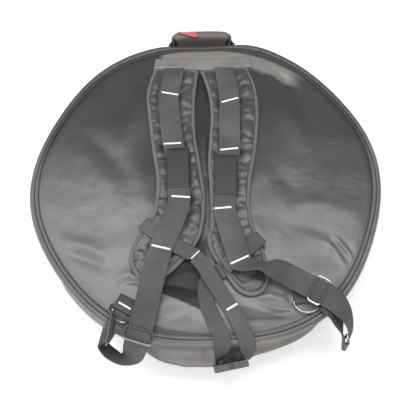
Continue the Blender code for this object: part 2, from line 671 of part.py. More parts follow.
def build_sliders() -> None:
    """Two sliders that meet at the top of the main zip, and the pocket's slider."""
    for side, mirrored in (("left", 1), ("right", -1)):
        frame = slider_frame(math.pi / 2 + mirrored * SLIDER_PARTING / 2, mirrored)
        slider, pin = build_slider(f"zip_slider_{side}", frame)
        pull = build_pull(f"zip_pull_{side}", frame, pin, RED)
        pivot(f"zip_slider_{side}_axis", Vector((0, 0, ZIP_HEIGHT)), [slider])
        pivot(f"zip_pull_{side}_axis", frame @ pin, [pull])
    reach = math.sqrt(PANEL_RADIUS ** 2 - (POCKET_LINE + POCKET_SLOT / 2) ** 2) - POCKET_ZIP_MARGIN
    place = Vector((reach - SLIDER_LENGTH, POCKET_LINE,
                    POCKET_TAPE_HEIGHT - COIL_DEPTH / 2 - SEAM_GAP))
    turn = Matrix((Vector((-1, 0, 0)), Vector((0, 1, 0)), Vector((0, 0, -1)))).transposed().to_4x4()
    frame = Matrix.Translation(place) @ turn
    slider, pin = build_slider("pocket_slider", frame)
    pull = build_pull("pocket_pull", frame, pin, RED)
    pivot("pocket_slider_axis", place, [slider])
    pivot("pocket_pull_axis", frame @ pin, [pull])


# Shoulder straps

def build_pad(name: str, shares: Sequence) -> bpy.types.Object:
    """Foam shoulder pad, an outline with drawn-in edges above and below."""
    corners = [Vector((x * GUSSET_RADIUS, y * GUSSET_RADIUS, 0)) for x, y in shares]
    outline = smooth_points(corners, 2, closed=True)
    count = len(outline)
    inward = []
    for i in range(count):
        run = (outline[(i + 1) % count] - outline[i - 1]).normalized()
        inward.append(Vector((run.y, -run.x, 0)))
    centre = sum(outline, Vector()) / count
    sign = 1 if inward[0].dot(centre - outline[0]) > 0 else -1
    edge = PAD_EDGE
    levels = ((edge, 0), (0, edge), (0, PAD_THICKNESS - edge), (edge, PAD_THICKNESS))
    rings = [[point + side * (sign * inset) + Vector((0, 0, ON_PANEL + height))
              for point, side in zip(outline, inward)] for inset, height in levels]
    return stacked(name, rings, MESH)


def build_patch(name: str, shares: Sequence[float], turn: float) -> bpy.types.Object:
    """Smooth patch sewn over the webbing."""
    bm = block((WEBBING, PATCH_LENGTH, PATCH_THICKNESS), (0, 0, 0))
    height = ON_PAD + PLY + PATCH_THICKNESS / 2
    place = Vector((shares[0] * GUSSET_RADIUS, shares[1] * GUSSET_RADIUS, height))
    bm.transform(Matrix.Translation(place) @ Matrix.Rotation(turn, 4, "Z"))
    return finish_object(name, bm, PATCH)


def build_yoke() -> bpy.types.Object:
    """Cloth band that covers the seam where both straps start."""
    top_edge = max(share[1] for share in PAD_LEFT_SHARES) * GUSSET_RADIUS
    near = top_edge + WALL
    far = near + YOKE_DEPTH
    half = YOKE_LENGTH / 2
    outline = [(-half, near), (half, near), (half * 0.9, far), (-half * 0.9, far)]
    rings = [[Vector((x, y, ON_PANEL + z)) for x, y in outline] for z in (0, YOKE_THICKNESS)]
    return stacked("strap_yoke", rings, NYLON)


def buckle_frame() -> Matrix:
    """Frame of the chest buckle: x along it, y through its thickness, z up its width."""
    x_share, y_share, depth_share = BUCKLE_CENTRE_SHARES
    place = Vector((x_share * GUSSET_RADIUS, y_share * GUSSET_RADIUS, depth_share * BAG_DEPTH))
    turn = Matrix.Rotation(BUCKLE_HEADING, 4, "Z") @ Matrix.Rotation(BUCKLE_LEAN, 4, "X")
    return Matrix.Translation(place) @ turn


def buckle_ends() -> tuple[float, float, float]:
    """Return the places along x of the buckle's two ends and of the seam between its halves."""
    total = BUCKLE_SOCKET_LENGTH + BUCKLE_PLAY + BUCKLE_PLUG_BASE
    return -total / 2, total / 2, BUCKLE_SOCKET_LENGTH - total / 2


def buckle_bar(end: float) -> Vector:
    """Return the centre of the webbing bar at one end of the buckle."""
    return Vector((end - math.copysign(BUCKLE_EYE / 2 - BUCKLE_BAR_RADIUS / 2, end), 0, 0))


def cut_eye(half: bpy.types.Object, end: float) -> None:
    """Open one end of a buckle half between two arms and set the round bar across it."""
    inward = -math.copysign(1, end)
    room = BUCKLE_WIDTH - 2 * BUCKLE_ARM
    centre = end + inward * (BUCKLE_EYE - OVERRUN) / 2
    eye = block((BUCKLE_EYE + OVERRUN, BUCKLE_THICKNESS + OVERRUN, room), (centre, 0, 0))
    apply_boolean(half, helper(eye, "eye"), "DIFFERENCE")
    bar = buckle_bar(end)
    reach = Vector((0, 0, room / 2 + BUCKLE_ARM / 2))
    apply_boolean(half, helper(rod(bar - reach, bar + reach, BUCKLE_BAR_RADIUS), "bar"), "UNION")


def build_socket() -> bpy.types.Object:
    """Hollow half of the chest buckle, open at the side windows and at its mouth."""
    start, _, seam = buckle_ends()
    socket = finish_object("buckle_socket", block(
        (BUCKLE_SOCKET_LENGTH, BUCKLE_THICKNESS, BUCKLE_WIDTH),
        (start + BUCKLE_SOCKET_LENGTH / 2, 0, 0)), ACETAL)
    hollow = BUCKLE_SOCKET_LENGTH - BUCKLE_EYE - BUCKLE_WALL
    inner = (hollow + OVERRUN, BUCKLE_THICKNESS - 2 * BUCKLE_WALL, BUCKLE_WIDTH - 2 * BUCKLE_WALL)
    cavity = block(inner, (seam - hollow + inner[0] / 2, 0, 0))
    window = block((hollow / 3, BUCKLE_THICKNESS - 2 * BUCKLE_WALL, BUCKLE_WIDTH + OVERRUN),
                   (seam - hollow / 2, 0, 0))
    for tool in (cavity, window):
        apply_boolean(socket, helper(tool, "cut"), "DIFFERENCE")
    cut_eye(socket, start)
    socket.data.transform(buckle_frame())
    return socket


def build_plug() -> bpy.types.Object:
    """Pronged half of the chest buckle, standing in the socket."""
    _, end, seam = buckle_ends()
    base_start = seam + BUCKLE_PLAY
    plug = finish_object("buckle_plug", block(
        (BUCKLE_PLUG_BASE, BUCKLE_THICKNESS, BUCKLE_WIDTH),
        (base_start + BUCKLE_PLUG_BASE / 2, 0, 0)), ACETAL)
    room = BUCKLE_WIDTH / 2 - BUCKLE_WALL - BUCKLE_PLAY
    thick = BUCKLE_THICKNESS - 2 * BUCKLE_WALL - 2 * BUCKLE_PLAY
    root = (BUCKLE_PLUG_BASE - BUCKLE_EYE) / 2
    for centre in (room - PRONG_WIDTH / 2, 0, PRONG_WIDTH / 2 - room):
        prong = block((PRONG_LENGTH + root, thick, PRONG_WIDTH),
                      (base_start + root - (PRONG_LENGTH + root) / 2, 0, centre))
        apply_boolean(plug, helper(prong, "prong"), "UNION")
    cut_eye(plug, end)
    plug.data.transform(buckle_frame())
    return plug


def bar_loop(end: float) -> list[Station]:
    """Stations of a webbing end that goes round one bar of the chest buckle and back up."""
    frame = buckle_frame()
    turn = frame.to_3x3()
    outward = Vector((math.copysign(1, end), 0, 0))
    across = turn @ Vector((0, 0, -1))
    bar = buckle_bar(end)
    radius = BUCKLE_BAR_RADIUS + WIRE_PLAY + WEBBING_THICKNESS / 2
    lead = Vector((0, BUCKLE_THICKNESS / 2 + BUCKLE_BAR_RADIUS, 0))
    sweep = -math.pi * outward.x
    around = [bar + Matrix.Rotation(sweep * i / 6, 3, "Z") @ outward * radius for i in range(7)]
    back = around[-1] + lead + outward * (radius * 2 - PLY) / 2
    points = [around[0] + lead, *around, back]
    return [Station(frame @ point, across) for point in points]


def build_straps() -> dict[str, bpy.types.Object]:
    """Both shoulder straps with the chest strap that joins them."""
    made = {
        "pad_left": build_pad("pad_left", PAD_LEFT_SHARES),
        "pad_right": build_pad("pad_right", PAD_RIGHT_SHARES),
        "strap_left": band("strap_left", route(STRAP_LEFT_SHARES), WEBBING, WEBBING_THICKNESS, BELT),
        "strap_right": band("strap_right", route(STRAP_RIGHT_SHARES), WEBBING, WEBBING_THICKNESS, BELT),
        "cross_left": band("cross_left", route(CROSS_LEFT_SHARES, 1), SLIM_WEBBING,
                           WEBBING_THICKNESS, BELT),
        "cross_right": band("cross_right", route(CROSS_RIGHT_SHARES, 1), SLIM_WEBBING,
                            WEBBING_THICKNESS, BELT),
        "patch_left": build_patch("patch_left", PATCH_LEFT_SHARES, 0.0),
        "patch_right": build_patch("patch_right", PATCH_RIGHT_SHARES, PATCH_RIGHT_TURN),
        "chest_left": band("chest_left", route(CHEST_LEFT_SHARES), SLIM_WEBBING, WEBBING_THICKNESS, BELT),
        "chest_right": band("chest_right", route(CHEST_RIGHT_SHARES) + bar_loop(buckle_ends()[0]),
                            SLIM_WEBBING, WEBBING_THICKNESS, BELT),
        "buckle_socket": build_socket(),
    }
    return made


# Wire fittings

def tab_frame(shares: Sequence[float], heading: float) -> Matrix:
    """Frame of a D-ring's tab: x along the bar, y outward, z up, from the bar's centre."""
    outward = direction(heading, 0)
    along = Vector((-outward.y, outward.x, 0))
    bar_height = ON_PANEL + WEBBING_THICKNESS / 2 + LOOP_RADIUS
    place = Vector((shares[0] * GUSSET_RADIUS, shares[1] * GUSSET_RADIUS, bar_height))
    turn = Matrix((along, outward, Vector((0, 0, 1)))).transposed().to_4x4()
    return Matrix.Translation(place) @ turn


def build_tab(name: str, frame: Matrix) -> bpy.types.Object:
    """Folded webbing tab with a tunnel for the D-ring's bar."""
    across = Vector((1, 0, 0))
    low = -LOOP_RADIUS
    top = low + PLY
    stations = [Station(Vector((0, -TAB_LENGTH, low)), across)]
    stations += wrapped(Vector(), across, LOOP_RADIUS, Vector((0, 0, -1)), math.pi, 6)
    settle = LOOP_RADIUS * 3
    stations += [Station(Vector((0, -settle / 2, (LOOP_RADIUS + top) / 2)), across),
                 Station(Vector((0, -settle, top)), across),
                 Station(Vector((0, -TAB_LENGTH, top)), across)]
    turn = frame.to_3x3()
    placed = [Station(frame @ station.centre, turn @ station.across) for station in stations]
    return band(name, placed, WEBBING, WEBBING_THICKNESS, BELT)


def build_d_ring(name: str, frame: Matrix, tilt: float) -> bpy.types.Object:
    """D-ring of plated wire, leaning up from the panel."""
    corner = D_RING_HALF_WIDTH - D_RING_BAR
    plan = [(-D_RING_BAR, 0.0), (D_RING_BAR, 0.0)]
    for step in range(13):
        angle = math.radians(8) + math.radians(164) * step / 12
        plan.append((D_RING_HALF_WIDTH * math.cos(angle), corner / 2 + (D_RING_DEPTH - corner / 2)
                     * math.sin(angle)))
    lean = frame @ Matrix.Rotation(tilt, 4, "X")
    return wire(name, [lean @ Vector((x, y, 0)) for x, y in plan], WIRE_RADIUS, STEEL)


def build_glide(name: str, shares: Sequence[float], heading: float, slope: float) -> bpy.types.Object:
    """Wire slide adjuster: a frame above the webbing and a centre bar below it."""
    across = direction(heading, 0)
    level = Vector((0, 0, 1))
    along = level.cross(across)
    along = (along + level * slope).normalized()
    up = across.cross(along)
    turn = Matrix((across, along, up)).transposed().to_4x4()
    frame = Matrix.Translation(on_bag(*shares)) @ turn
    rise = WEBBING_THICKNESS / 2 + SEAM_GAP + WIRE_RADIUS
    plan = rounded_frame(GLIDE_LENGTH, GLIDE_WIDTH, GLIDE_CORNER, 2)
    rim = wire(name, [frame @ Vector((x, y, rise)) for x, y in plan], WIRE_RADIUS, STEEL)
    half = GLIDE_LENGTH / 2
    path = [(-half, rise), (-half, -rise), (half, -rise), (half, rise)]
    bar = wire("bar", [frame @ Vector((x, 0, z)) for x, z in path], WIRE_RADIUS, STEEL, closed=False)
    bar.hide_render = True
    bar.display_type = "WIRE"
    apply_boolean(rim, bar, "UNION")
    return rim


class RingFrame(NamedTuple):
    """Placed strap ring: its centre, its long direction and the direction to its free bar."""

    centre: Vector
    run: Vector
    rise: Vector


def left_ring_frame() -> RingFrame:
    """Ring that hooks the left strap to its D-ring, standing on edge."""
    run = Vector(RING_LEFT_RUN_SHARES).normalized()
    level = Vector((0, 0, 1))
    rise = (level - run * run.dot(level)).normalized()
    return RingFrame(on_bag(*RING_LEFT_START_SHARES) + run * (STRAP_RING_LENGTH / 2), run, rise)


def right_ring_frame() -> RingFrame:
    """Ring that hangs in the folded end of the right strap, upright and turned inward."""
    fold, across, inward = right_fold()
    return RingFrame(fold + inward * (STRAP_RING_WIDTH / 2), across, inward)


def build_strap_ring(name: str, place: RingFrame) -> bpy.types.Object:
    """Long ring of plated wire."""
    plan = rounded_frame(STRAP_RING_LENGTH, STRAP_RING_WIDTH, STRAP_RING_CORNER, 2)
    points = [place.centre + place.run * x + place.rise * y for x, y in plan]
    return wire(name, points, WIRE_RADIUS, STEEL)


def right_fold() -> tuple[Vector, Vector, Vector]:
    """Centre of the right tail's fold, its width direction and the way back to the bag."""
    across = direction(math.radians(-20), math.radians(-84))
    back = on_bag(*RETURN_RIGHT_SHARES[0][:3]) + on_bag(*TAIL_RIGHT_SHARES[-1][:3])
    centre = on_bag(*RIGHT_FOLD_SHARES)
    inward = back / 2 - centre
    inward = (inward - across * inward.dot(across)).normalized()
    return centre, across, inward


def build_tail_left() -> bpy.types.Object:
    """Left lower webbing: through the adjuster, in a slack bow round the ring and back."""
    ring = left_ring_frame()
    bar = ring.centre - ring.rise * (STRAP_RING_WIDTH / 2) + ring.run * (WEBBING / 9)
    side = ring.run.cross(ring.rise)
    around = wrapped(bar, ring.run, LOOP_RADIUS, side, -math.pi, 4)
    stations = route(TAIL_LEFT_SHARES) + around + route(RETURN_LEFT_SHARES, 2)
    return band("tail_left", stations, WEBBING, WEBBING_THICKNESS, BELT)


def build_tail_right() -> bpy.types.Object:
    """Right lower webbing: through the adjuster, over the rim and folded back on itself."""
    fold, across, inward = right_fold()
    outer = across.cross(inward)
    if outer.x < 0:
        outer = -outer
    turn = math.pi if (Matrix.Rotation(math.pi / 2, 3, across) @ outer).dot(inward) < 0 else -math.pi
    around = wrapped(fold, across, LOOP_RADIUS, outer, turn, 6)
    stations = route(TAIL_RIGHT_SHARES) + around + route(RETURN_RIGHT_SHARES)
    return band("tail_right", stations, WEBBING, WEBBING_THICKNESS, BELT)


def build_fittings() -> None:
    """D-rings, their tabs, the strap rings, the adjusters and the lower webbing."""
    rows = (("left", TAB_LEFT_SHARES, TAB_LEFT_HEADING, TAB_LEFT_TILT),
            ("right", TAB_RIGHT_SHARES, TAB_RIGHT_HEADING, TAB_RIGHT_TILT))
    for side, shares, heading, tilt in rows:
        frame = tab_frame(shares, heading)
        build_tab(f"d_ring_tab_{side}", frame)
        ring = build_d_ring(f"d_ring_{side}", frame, tilt)
        pivot(f"d_ring_{side}_axis", frame.translation, [ring])
    for side, place in (("left", left_ring_frame()), ("right", right_ring_frame())):
        ring = build_strap_ring(f"strap_ring_{side}", place)
        bar = place.centre - place.rise * (STRAP_RING_WIDTH / 2)
        pivot(f"strap_ring_{side}_axis", bar, [ring])
    build_tail_left()
    build_tail_right()
    rows = (("left", GLIDE_LEFT_SHARES, -18, TAIL_LEFT_SHARES[2:4]),
            ("right", GLIDE_RIGHT_SHARES, 58, TAIL_RIGHT_SHARES[1:3]))
    for side, shares, heading, run in rows:
        near, far = on_bag(*run[0][:3]), on_bag(*run[1][:3])
        level = Vector((far.x - near.x, far.y - near.y)).length
        glide = build_glide(f"glide_{side}", shares, math.radians(heading), (near.z - far.z) / level)
        pivot(f"glide_{side}_axis", on_bag(*shares), [glide])


# Carry handle

class HandleSide(NamedTuple):
    """Places on one side of the handle: the ring's bar in the anchor and its outer bar."""

    anchor_bar: Vector
    grip_bar: Vector


def handle_side(sign: int) -> HandleSide:
    """Work out the ring's two bars on the side with this sign of x."""
    radius = GUSSET_RADIUS + SEAM_GAP + WEBBING_THICKNESS / 2 + LOOP_RADIUS
    bar = Vector((sign * radius * math.sin(ANCHOR_ANGLE), radius * math.cos(ANCHOR_ANGLE), HANDLE_HEIGHT))
    lean = Vector((-sign * math.cos(HANDLE_RING_LEAN), math.sin(HANDLE_RING_LEAN), 0))
    return HandleSide(bar, bar + lean * HANDLE_RING_WIDTH)


def build_anchor(name: str, sign: int) -> bpy.types.Object:
    """Webbing anchor sewn flat on the side wall, folded round the ring's bar."""
    level = Vector((0, 0, 1))
    near = GUSSET_RADIUS + SEAM_GAP + WEBBING_THICKNESS / 2
    steps = 4
    arc = ANCHOR_LENGTH / GUSSET_RADIUS

    def at(radius: float, angle: float) -> Vector:
        return Vector((sign * radius * math.sin(angle), radius * math.cos(angle), HANDLE_HEIGHT))

    lower = [Station(at(near, ANCHOR_ANGLE + arc * (1 - i / steps)), level) for i in range(steps)]
    bar = handle_side(sign).anchor_bar
    inward = -Vector((sign * math.sin(ANCHOR_ANGLE), math.cos(ANCHOR_ANGLE), 0))
    around = wrapped(bar, level, LOOP_RADIUS, inward, -sign * math.pi, 6)
    settle = LOOP_RADIUS * 3 / GUSSET_RADIUS
    upper = [Station(at(near + PLY, ANCHOR_ANGLE + settle), level)]
    upper += [Station(at(near + PLY, ANCHOR_ANGLE + arc * i / steps), level)
              for i in range(2, steps + 1)]
    return band(name, lower + around + upper, HANDLE_WEBBING, WEBBING_THICKNESS, BELT)


def handle_path(steps: int = 5) -> list[Vector]:
    """Centre line of the handle's webbing between the rings' outer bars."""
    left, right = handle_side(-1).grip_bar, handle_side(1).grip_bar
    span, reach = right.x, HANDLE_REACH
    base = right.y
    shares = ((-1.0, 0.0), (-0.94, 0.42), (-0.74, 0.84), (0.0, 1.0), (0.74, 0.84), (0.94, 0.42), (1.0, 0.0))
    points = [Vector((x * span, base + y * reach, left.z)) for x, y in shares]
    return smooth_points(points, steps)


def path_normals(points: Sequence[Vector]) -> list[Vector]:
    """Return the outward normal of a level path at each of its points."""
    made = []
    for i in range(len(points)):
        run = points[min(i + 1, len(points) - 1)] - points[max(i - 1, 0)]
        made.append(Vector((-run.y, run.x, 0)).normalized())
    return made


def build_handle_webbing() -> bpy.types.Object:
    """Doubled webbing of the handle with a loose loop round each ring."""
    level = Vector((0, 0, 1))
    path = handle_path()
    normals = path_normals(path)
    radius = LOOP_RADIUS + HANDLE_LOOP_PLAY
    half = PLY / 2
    left, right = handle_side(-1).grip_bar, handle_side(1).grip_bar
    inside = range(5, len(path) - 5)
    outer = [Station(path[i] + normals[i] * half, level) for i in inside]
    inner = [Station(path[i] - normals[i] * half, level) for i in reversed(inside)]
    middle = len(inner) // 2
    first = (normals[0] * 1.0).normalized()
    last = (normals[-1] * 1.0).normalized()
    around_right = wrapped(right, level, radius, last, -math.pi, 6)
    around_left = wrapped(left, level, radius, -first, -math.pi, 6)
    stations = inner[middle + 1:] + around_left + outer + around_right + inner[:middle]
    return band("handle_webbing", stations, HANDLE_WEBBING, WEBBING_THICKNESS, BELT)


def build_grip() -> bpy.types.Object:
    """Padded sleeve round the handle's webbing, with the slot that the webbing fills."""
    path = [point for point in handle_path() if abs(point.x) <= GRIP_LENGTH / 2]
    normals = path_normals(path)
    level = Vector((0, 0, 1))
    slot_y = PLY / 2 + WEBBING_THICKNESS / 2 + GRIP_SLOT_PLAY
    slot_z = HANDLE_WEBBING / 2 + GRIP_SLOT_PLAY
    count = 16
    outer_plan, slot_plan = [], []
    for i in range(count):
        angle = math.tau * (i + 0.5) / count
        cosine, sine = math.cos(angle), math.sin(angle)
        outer_plan.append((math.copysign(abs(cosine) ** GRIP_SQUARE_SHARE, cosine) * GRIP_THICKNESS / 2,
                           math.copysign(abs(sine) ** GRIP_SQUARE_SHARE, sine) * GRIP_WIDTH / 2))
        slot_plan.append((max(-slot_y, min(slot_y, cosine * GRIP_THICKNESS)),
                          max(-slot_z, min(slot_z, sine * GRIP_WIDTH))))
    outer = [[p + n * y + level * z for y, z in outer_plan] for p, n in zip(path, normals)]
    inner = [[p + n * y + level * z for y, z in slot_plan] for p, n in zip(path, normals)]
    return stacked("handle_grip", outer + inner[::-1], MESH, closed=True)


def build_tag() -> list[bpy.types.Object]:
    """Red moulded pull on a short cord, laid along the outer edge of the grip."""
    x_share, lift_share = TAG_PLACE_SHARES
    sine = lift_share ** (1 / GRIP_SQUARE_SHARE)
    seat = GRIP_THICKNESS / 2 * math.sqrt(1 - sine * sine) ** GRIP_SQUARE_SHARE
    middle = x_share * GUSSET_RADIUS
    reach = TAG_LENGTH / 2 + TAG_CORD_LENGTH
    bow = max(point.y for point in handle_path() if abs(point.x - middle) < reach)
    height = HANDLE_HEIGHT + GRIP_WIDTH / 2 * lift_share
    wall = Vector((middle, bow + seat, height))
    centre = wall + Vector((0, TAG_THICK_END / 2 + SEAM_GAP, 0))
    half = TAG_LENGTH / 2
    rings = []
    for share in TAG_RING_SHARES:
        size = TAG_THIN_END + (TAG_THICK_END - TAG_THIN_END) * math.sin(share * math.pi * TAG_BULGE_SHARE)
        x = centre.x - half + TAG_LENGTH * share
        rings.append([Vector((x, centre.y + size / 2 * math.cos(math.tau * i / 8),
                              centre.z + size / 2 * math.sin(math.tau * i / 8))) for i in range(8)])
    tag = stacked("red_pull", rings, RED)
    start = centre + Vector((half + SEAM_GAP + TAG_CORD_RADIUS, 0, 0))
    low = wall.y + TAG_CORD_RADIUS + SEAM_GAP
    run = [start]
    run += [Vector((start.x + TAG_CORD_LENGTH * i / 4, low, height)) for i in range(1, 5)]
    cord = wire("red_pull_cord", run, TAG_CORD_RADIUS, BINDING, closed=False)
    return [tag, cord]


def build_handle() -> None:
    """Anchors, rings, doubled webbing and padded grip of the carry handle."""
    level = Vector((0, 0, 1))
    for side, sign in (("left", -1), ("right", 1)):
        build_anchor(f"handle_anchor_{side}", sign)
        place = handle_side(sign)
        rise = (place.grip_bar - place.anchor_bar).normalized()
        plan = rounded_frame(HANDLE_RING_LENGTH, HANDLE_RING_WIDTH, GLIDE_CORNER / 2, 2)
        centre = (place.anchor_bar + place.grip_bar) / 2
        ring = wire(f"handle_ring_{side}", [centre + level * x + rise * y for x, y in plan],
                    WIRE_RADIUS, STEEL)
        pivot(f"handle_ring_{side}_axis", place.anchor_bar, [ring])
    pieces = [build_handle_webbing(), build_grip(), *build_tag()]
    pivot("handle_axis", handle_side(-1).grip_bar, pieces)


def main() -> None:
    """Build the whole bag."""
    clear_scene()
    build_back_panel()
    piping("back_piping", BAG_DEPTH - PIPING_DEPTH)
    build_gusset()
    zip_half("zip_tape_back", 1)
    hinge_half("hinge_back", 1)
    build_yoke()
    cover = [*build_front(), piping("front_piping", FRONT_PIPING_HEIGHT), build_cover_strip(),
             zip_half("zip_tape_front", -1), hinge_half("hinge_front", -1)]
    pivot("front_cover_axis", Vector((0, -GUSSET_RADIUS - HINGE_OVERHANG, ZIP_HEIGHT)), cover)
    build_sliders()
    straps = build_straps()
    seam = max(share[1] for share in PAD_LEFT_SHARES) * GUSSET_RADIUS
    pivot("straps_axis", Vector((0, seam, ON_PANEL)), straps.values())
    loop = band("chest_loop", route(CHEST_LOOP_SHARES) + bar_loop(buckle_ends()[1]), SLIM_WEBBING,
                WEBBING_THICKNESS, BELT)
    pivot("buckle_axis", buckle_frame().translation, [build_plug(), loop])
    build_fittings()
    build_handle()


main()
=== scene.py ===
"""Looks of a round padded cymbal bag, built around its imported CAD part.

The bag lies on its front with the shoulder straps up, in the CAD part's own frame: metres, +Z up,
+Y towards the carry handle. Each sub-assembly is a class that builds its cloth, webbing and trim.
"""
import logging
import math
from dataclasses import dataclass
from enum import Enum
from typing import Any, Callable, NamedTuple, Optional, Sequence

import bmesh
import bpy
from mathutils import Matrix, Vector, noise
from mathutils.bvhtree import BVHTree


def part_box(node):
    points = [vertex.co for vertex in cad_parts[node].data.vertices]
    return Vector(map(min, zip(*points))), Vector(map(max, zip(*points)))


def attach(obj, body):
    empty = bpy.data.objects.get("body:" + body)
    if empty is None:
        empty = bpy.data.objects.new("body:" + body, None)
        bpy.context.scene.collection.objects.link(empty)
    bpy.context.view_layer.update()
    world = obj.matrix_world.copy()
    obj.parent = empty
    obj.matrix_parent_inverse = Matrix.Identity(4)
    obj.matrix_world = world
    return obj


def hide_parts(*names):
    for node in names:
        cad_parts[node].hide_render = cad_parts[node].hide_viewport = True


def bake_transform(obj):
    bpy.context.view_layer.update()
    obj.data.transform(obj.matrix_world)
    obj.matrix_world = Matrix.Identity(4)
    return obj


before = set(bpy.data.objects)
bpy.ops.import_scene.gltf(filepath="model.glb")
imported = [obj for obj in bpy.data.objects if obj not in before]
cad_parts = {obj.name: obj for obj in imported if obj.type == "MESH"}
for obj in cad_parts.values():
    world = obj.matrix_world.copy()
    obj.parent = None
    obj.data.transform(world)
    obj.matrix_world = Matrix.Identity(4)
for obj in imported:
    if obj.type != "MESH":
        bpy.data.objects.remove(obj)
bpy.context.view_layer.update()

LOG = logging.getLogger("cymbal_bag")
MM = 0.001
UP = Vector((0, 0, 1))

# Sizes that the cloth shares with the solids, in metres
GUSSET_RADIUS = 0.300
BAG_DEPTH = 0.084
SEAM_GAP = 0.0003
PANEL_THICKNESS = 0.0045
PIPING_RADIUS = 0.0033
PIPING_INSET = 0.0097
ZIP_HEIGHT = 0.020
COIL_HEIGHT = 0.0015
TAPE_WIDTH = 0.0039
HINGE_ARC = math.radians(100)
FRONT_OUTER = 0.008
FRONT_INNER = 0.003
FRONT_PIPING_HEIGHT = 0.0045
POCKET_LINE = 0.110
POCKET_SLOT = 0.014
POCKET_TAPE_HEIGHT = 0.0067
WEBBING = 0.038
SLIM_WEBBING = 0.025
BELT_THICKNESS = 0.0016
PAD_THICKNESS = 0.012
WIRE_RADIUS = 0.0016
WIRE_PLAY = 0.0004
ON_PANEL = BAG_DEPTH + SEAM_GAP
ON_PAD = ON_PANEL + PAD_THICKNESS + SEAM_GAP
PLY = BELT_THICKNESS + SEAM_GAP
STRAP_RISE = ON_PAD + BELT_THICKNESS / 2 - BAG_DEPTH
PIPING_CENTRE = GUSSET_RADIUS - PIPING_INSET
PANEL_RADIUS = PIPING_CENTRE - PIPING_RADIUS - SEAM_GAP
LOOP_RADIUS = WIRE_RADIUS + WIRE_PLAY + BELT_THICKNESS / 2

# Pad outlines as shares of the bag's radius, from the top seam down and back up
PAD_LEFT = (
    (-0.285, 0.781), (-0.311, 0.779), (-0.321, 0.742), (-0.357, 0.577),
    (-0.345, 0.403), (-0.317, 0.163), (-0.290, -0.043),
    (-0.298, -0.203), (-0.330, -0.310), (-0.395, -0.400), (-0.428, -0.503), (-0.407, -0.587),
    (-0.355, -0.643), (-0.290, -0.650), (-0.215, -0.607), (-0.122, -0.517), (-0.058, -0.425),
    (-0.028, -0.333), (-0.014, -0.210), (-0.017, -0.083), (-0.038, 0.090), (-0.058, 0.263),
    (-0.057, 0.493), (-0.034, 0.708), (-0.028, 0.752), (-0.058, 0.763), (-0.170, 0.777),
)
PAD_RIGHT = (
    (0.258, 0.781), (0.283, 0.779), (0.292, 0.742), (0.323, 0.623),
    (0.333, 0.443), (0.313, 0.253), (0.283, 0.080),
    (0.252, -0.060), (0.235, -0.217), (0.247, -0.347), (0.277, -0.440), (0.300, -0.537),
    (0.305, -0.640), (0.268, -0.717), (0.200, -0.737), (0.142, -0.710), (0.098, -0.655),
    (0.058, -0.587), (0.012, -0.513), (-0.012, -0.420), (0.008, -0.333), (0.012, -0.147),
    (0.008, 0.053), (0.018, 0.190), (0.035, 0.393), (0.027, 0.553), (-0.008, 0.712),
    (-0.018, 0.750), (0.012, 0.761), (0.140, 0.775),
)

# Webbing routes: x and y as shares of the radius, height as a share of STRAP_RISE above the panel,
# then the heading of the width and its tilt in degrees
STRAP_LEFT = (
    (-0.183, 0.764, 1.0, 0, 0), (-0.200, 0.633, 1.0, -4, 0), (-0.220, 0.537, 1.0, 0, 0),
    (-0.210, 0.367, 1.0, 4, 0), (-0.193, 0.200, 1.0, 5, 0), (-0.167, 0.067, 1.0, 4, 0),
    (-0.163, -0.083, 1.0, 2, 0), (-0.160, -0.190, 1.03, -6, 0), (-0.188, -0.300, 1.15, -14, 0),
    (-0.257, -0.470, 1.15, -18, 0), (-0.3000, -0.640, 1.13, -14, 0),
)
STRAP_RIGHT = (
    (0.133, 0.762, 1.0, 0, 0), (0.147, 0.633, 1.0, 4, 0), (0.155, 0.500, 1.0, 6, 0),
    (0.147, 0.333, 1.0, 0, 0), (0.137, 0.140, 1.0, -6, 0), (0.113, 0.033, 1.0, -6, 0),
    (0.103, -0.133, 1.0, 0, 0), (0.090, -0.240, 1.02, 6, 0), (0.113, -0.367, 1.15, 14, 0),
    (0.143, -0.493, 1.15, 20, 0), (0.162, -0.563, 1.22, 26, -4), (0.205, -0.592, 1.60, 40, -22),
    (0.262, -0.600, 1.98, 54, -46), (0.325, -0.606, 1.60, 58, -16), (0.385, -0.628, 1.12, 58, -4),
)
CROSS_LEFT = ((-0.358, -0.322, 1.0, 52, 0), (-0.205, -0.440, 1.0, 52, 0), (-0.085, -0.514, 1.0, 44, 0))
CROSS_RIGHT = ((0.280, -0.420, 1.0, -50, 0), (0.180, -0.503, 1.0, -52, 0), (0.075, -0.587, 1.0, -54, 0))
CHEST_LEFT = (
    (-0.074, -0.524, 1.0, 42, 0), (-0.040, -0.565, 1.0, 36, 0), (0.002, -0.637, 0.82, 31, 0),
    (0.052, -0.720, 0.48, 30, 0), (0.100, -0.800, 0.36, 29, 0), (0.142, -0.883, 0.34, 26, 0),
    (0.165, -0.950, 0.28, 20, 0), (0.1742, -0.997, 0.09, 14, -6), (0.176, -1.020, -0.35, 8, -40),
    (0.170, -1.038, -0.95, 6, -72),
)
CHEST_RIGHT = (
    (0.062, -0.597, 0.80, -58, 0), (0.030, -0.612, 0.36, -60, 0), (-0.012, -0.640, 0.14, -42, 0),
    (-0.029, -0.700, 0.14, -14, 0), (-0.018, -0.780, 0.16, 12, 0), (0.017, -0.870, 0.18, 18, 0),
    (0.044, -0.940, 0.24, 10, 0), (0.046, -0.985, 0.16, 4, -8), (0.036, -1.018, -0.35, 0, -40),
    (0.020, -1.040, -0.95, 0, -72),
)
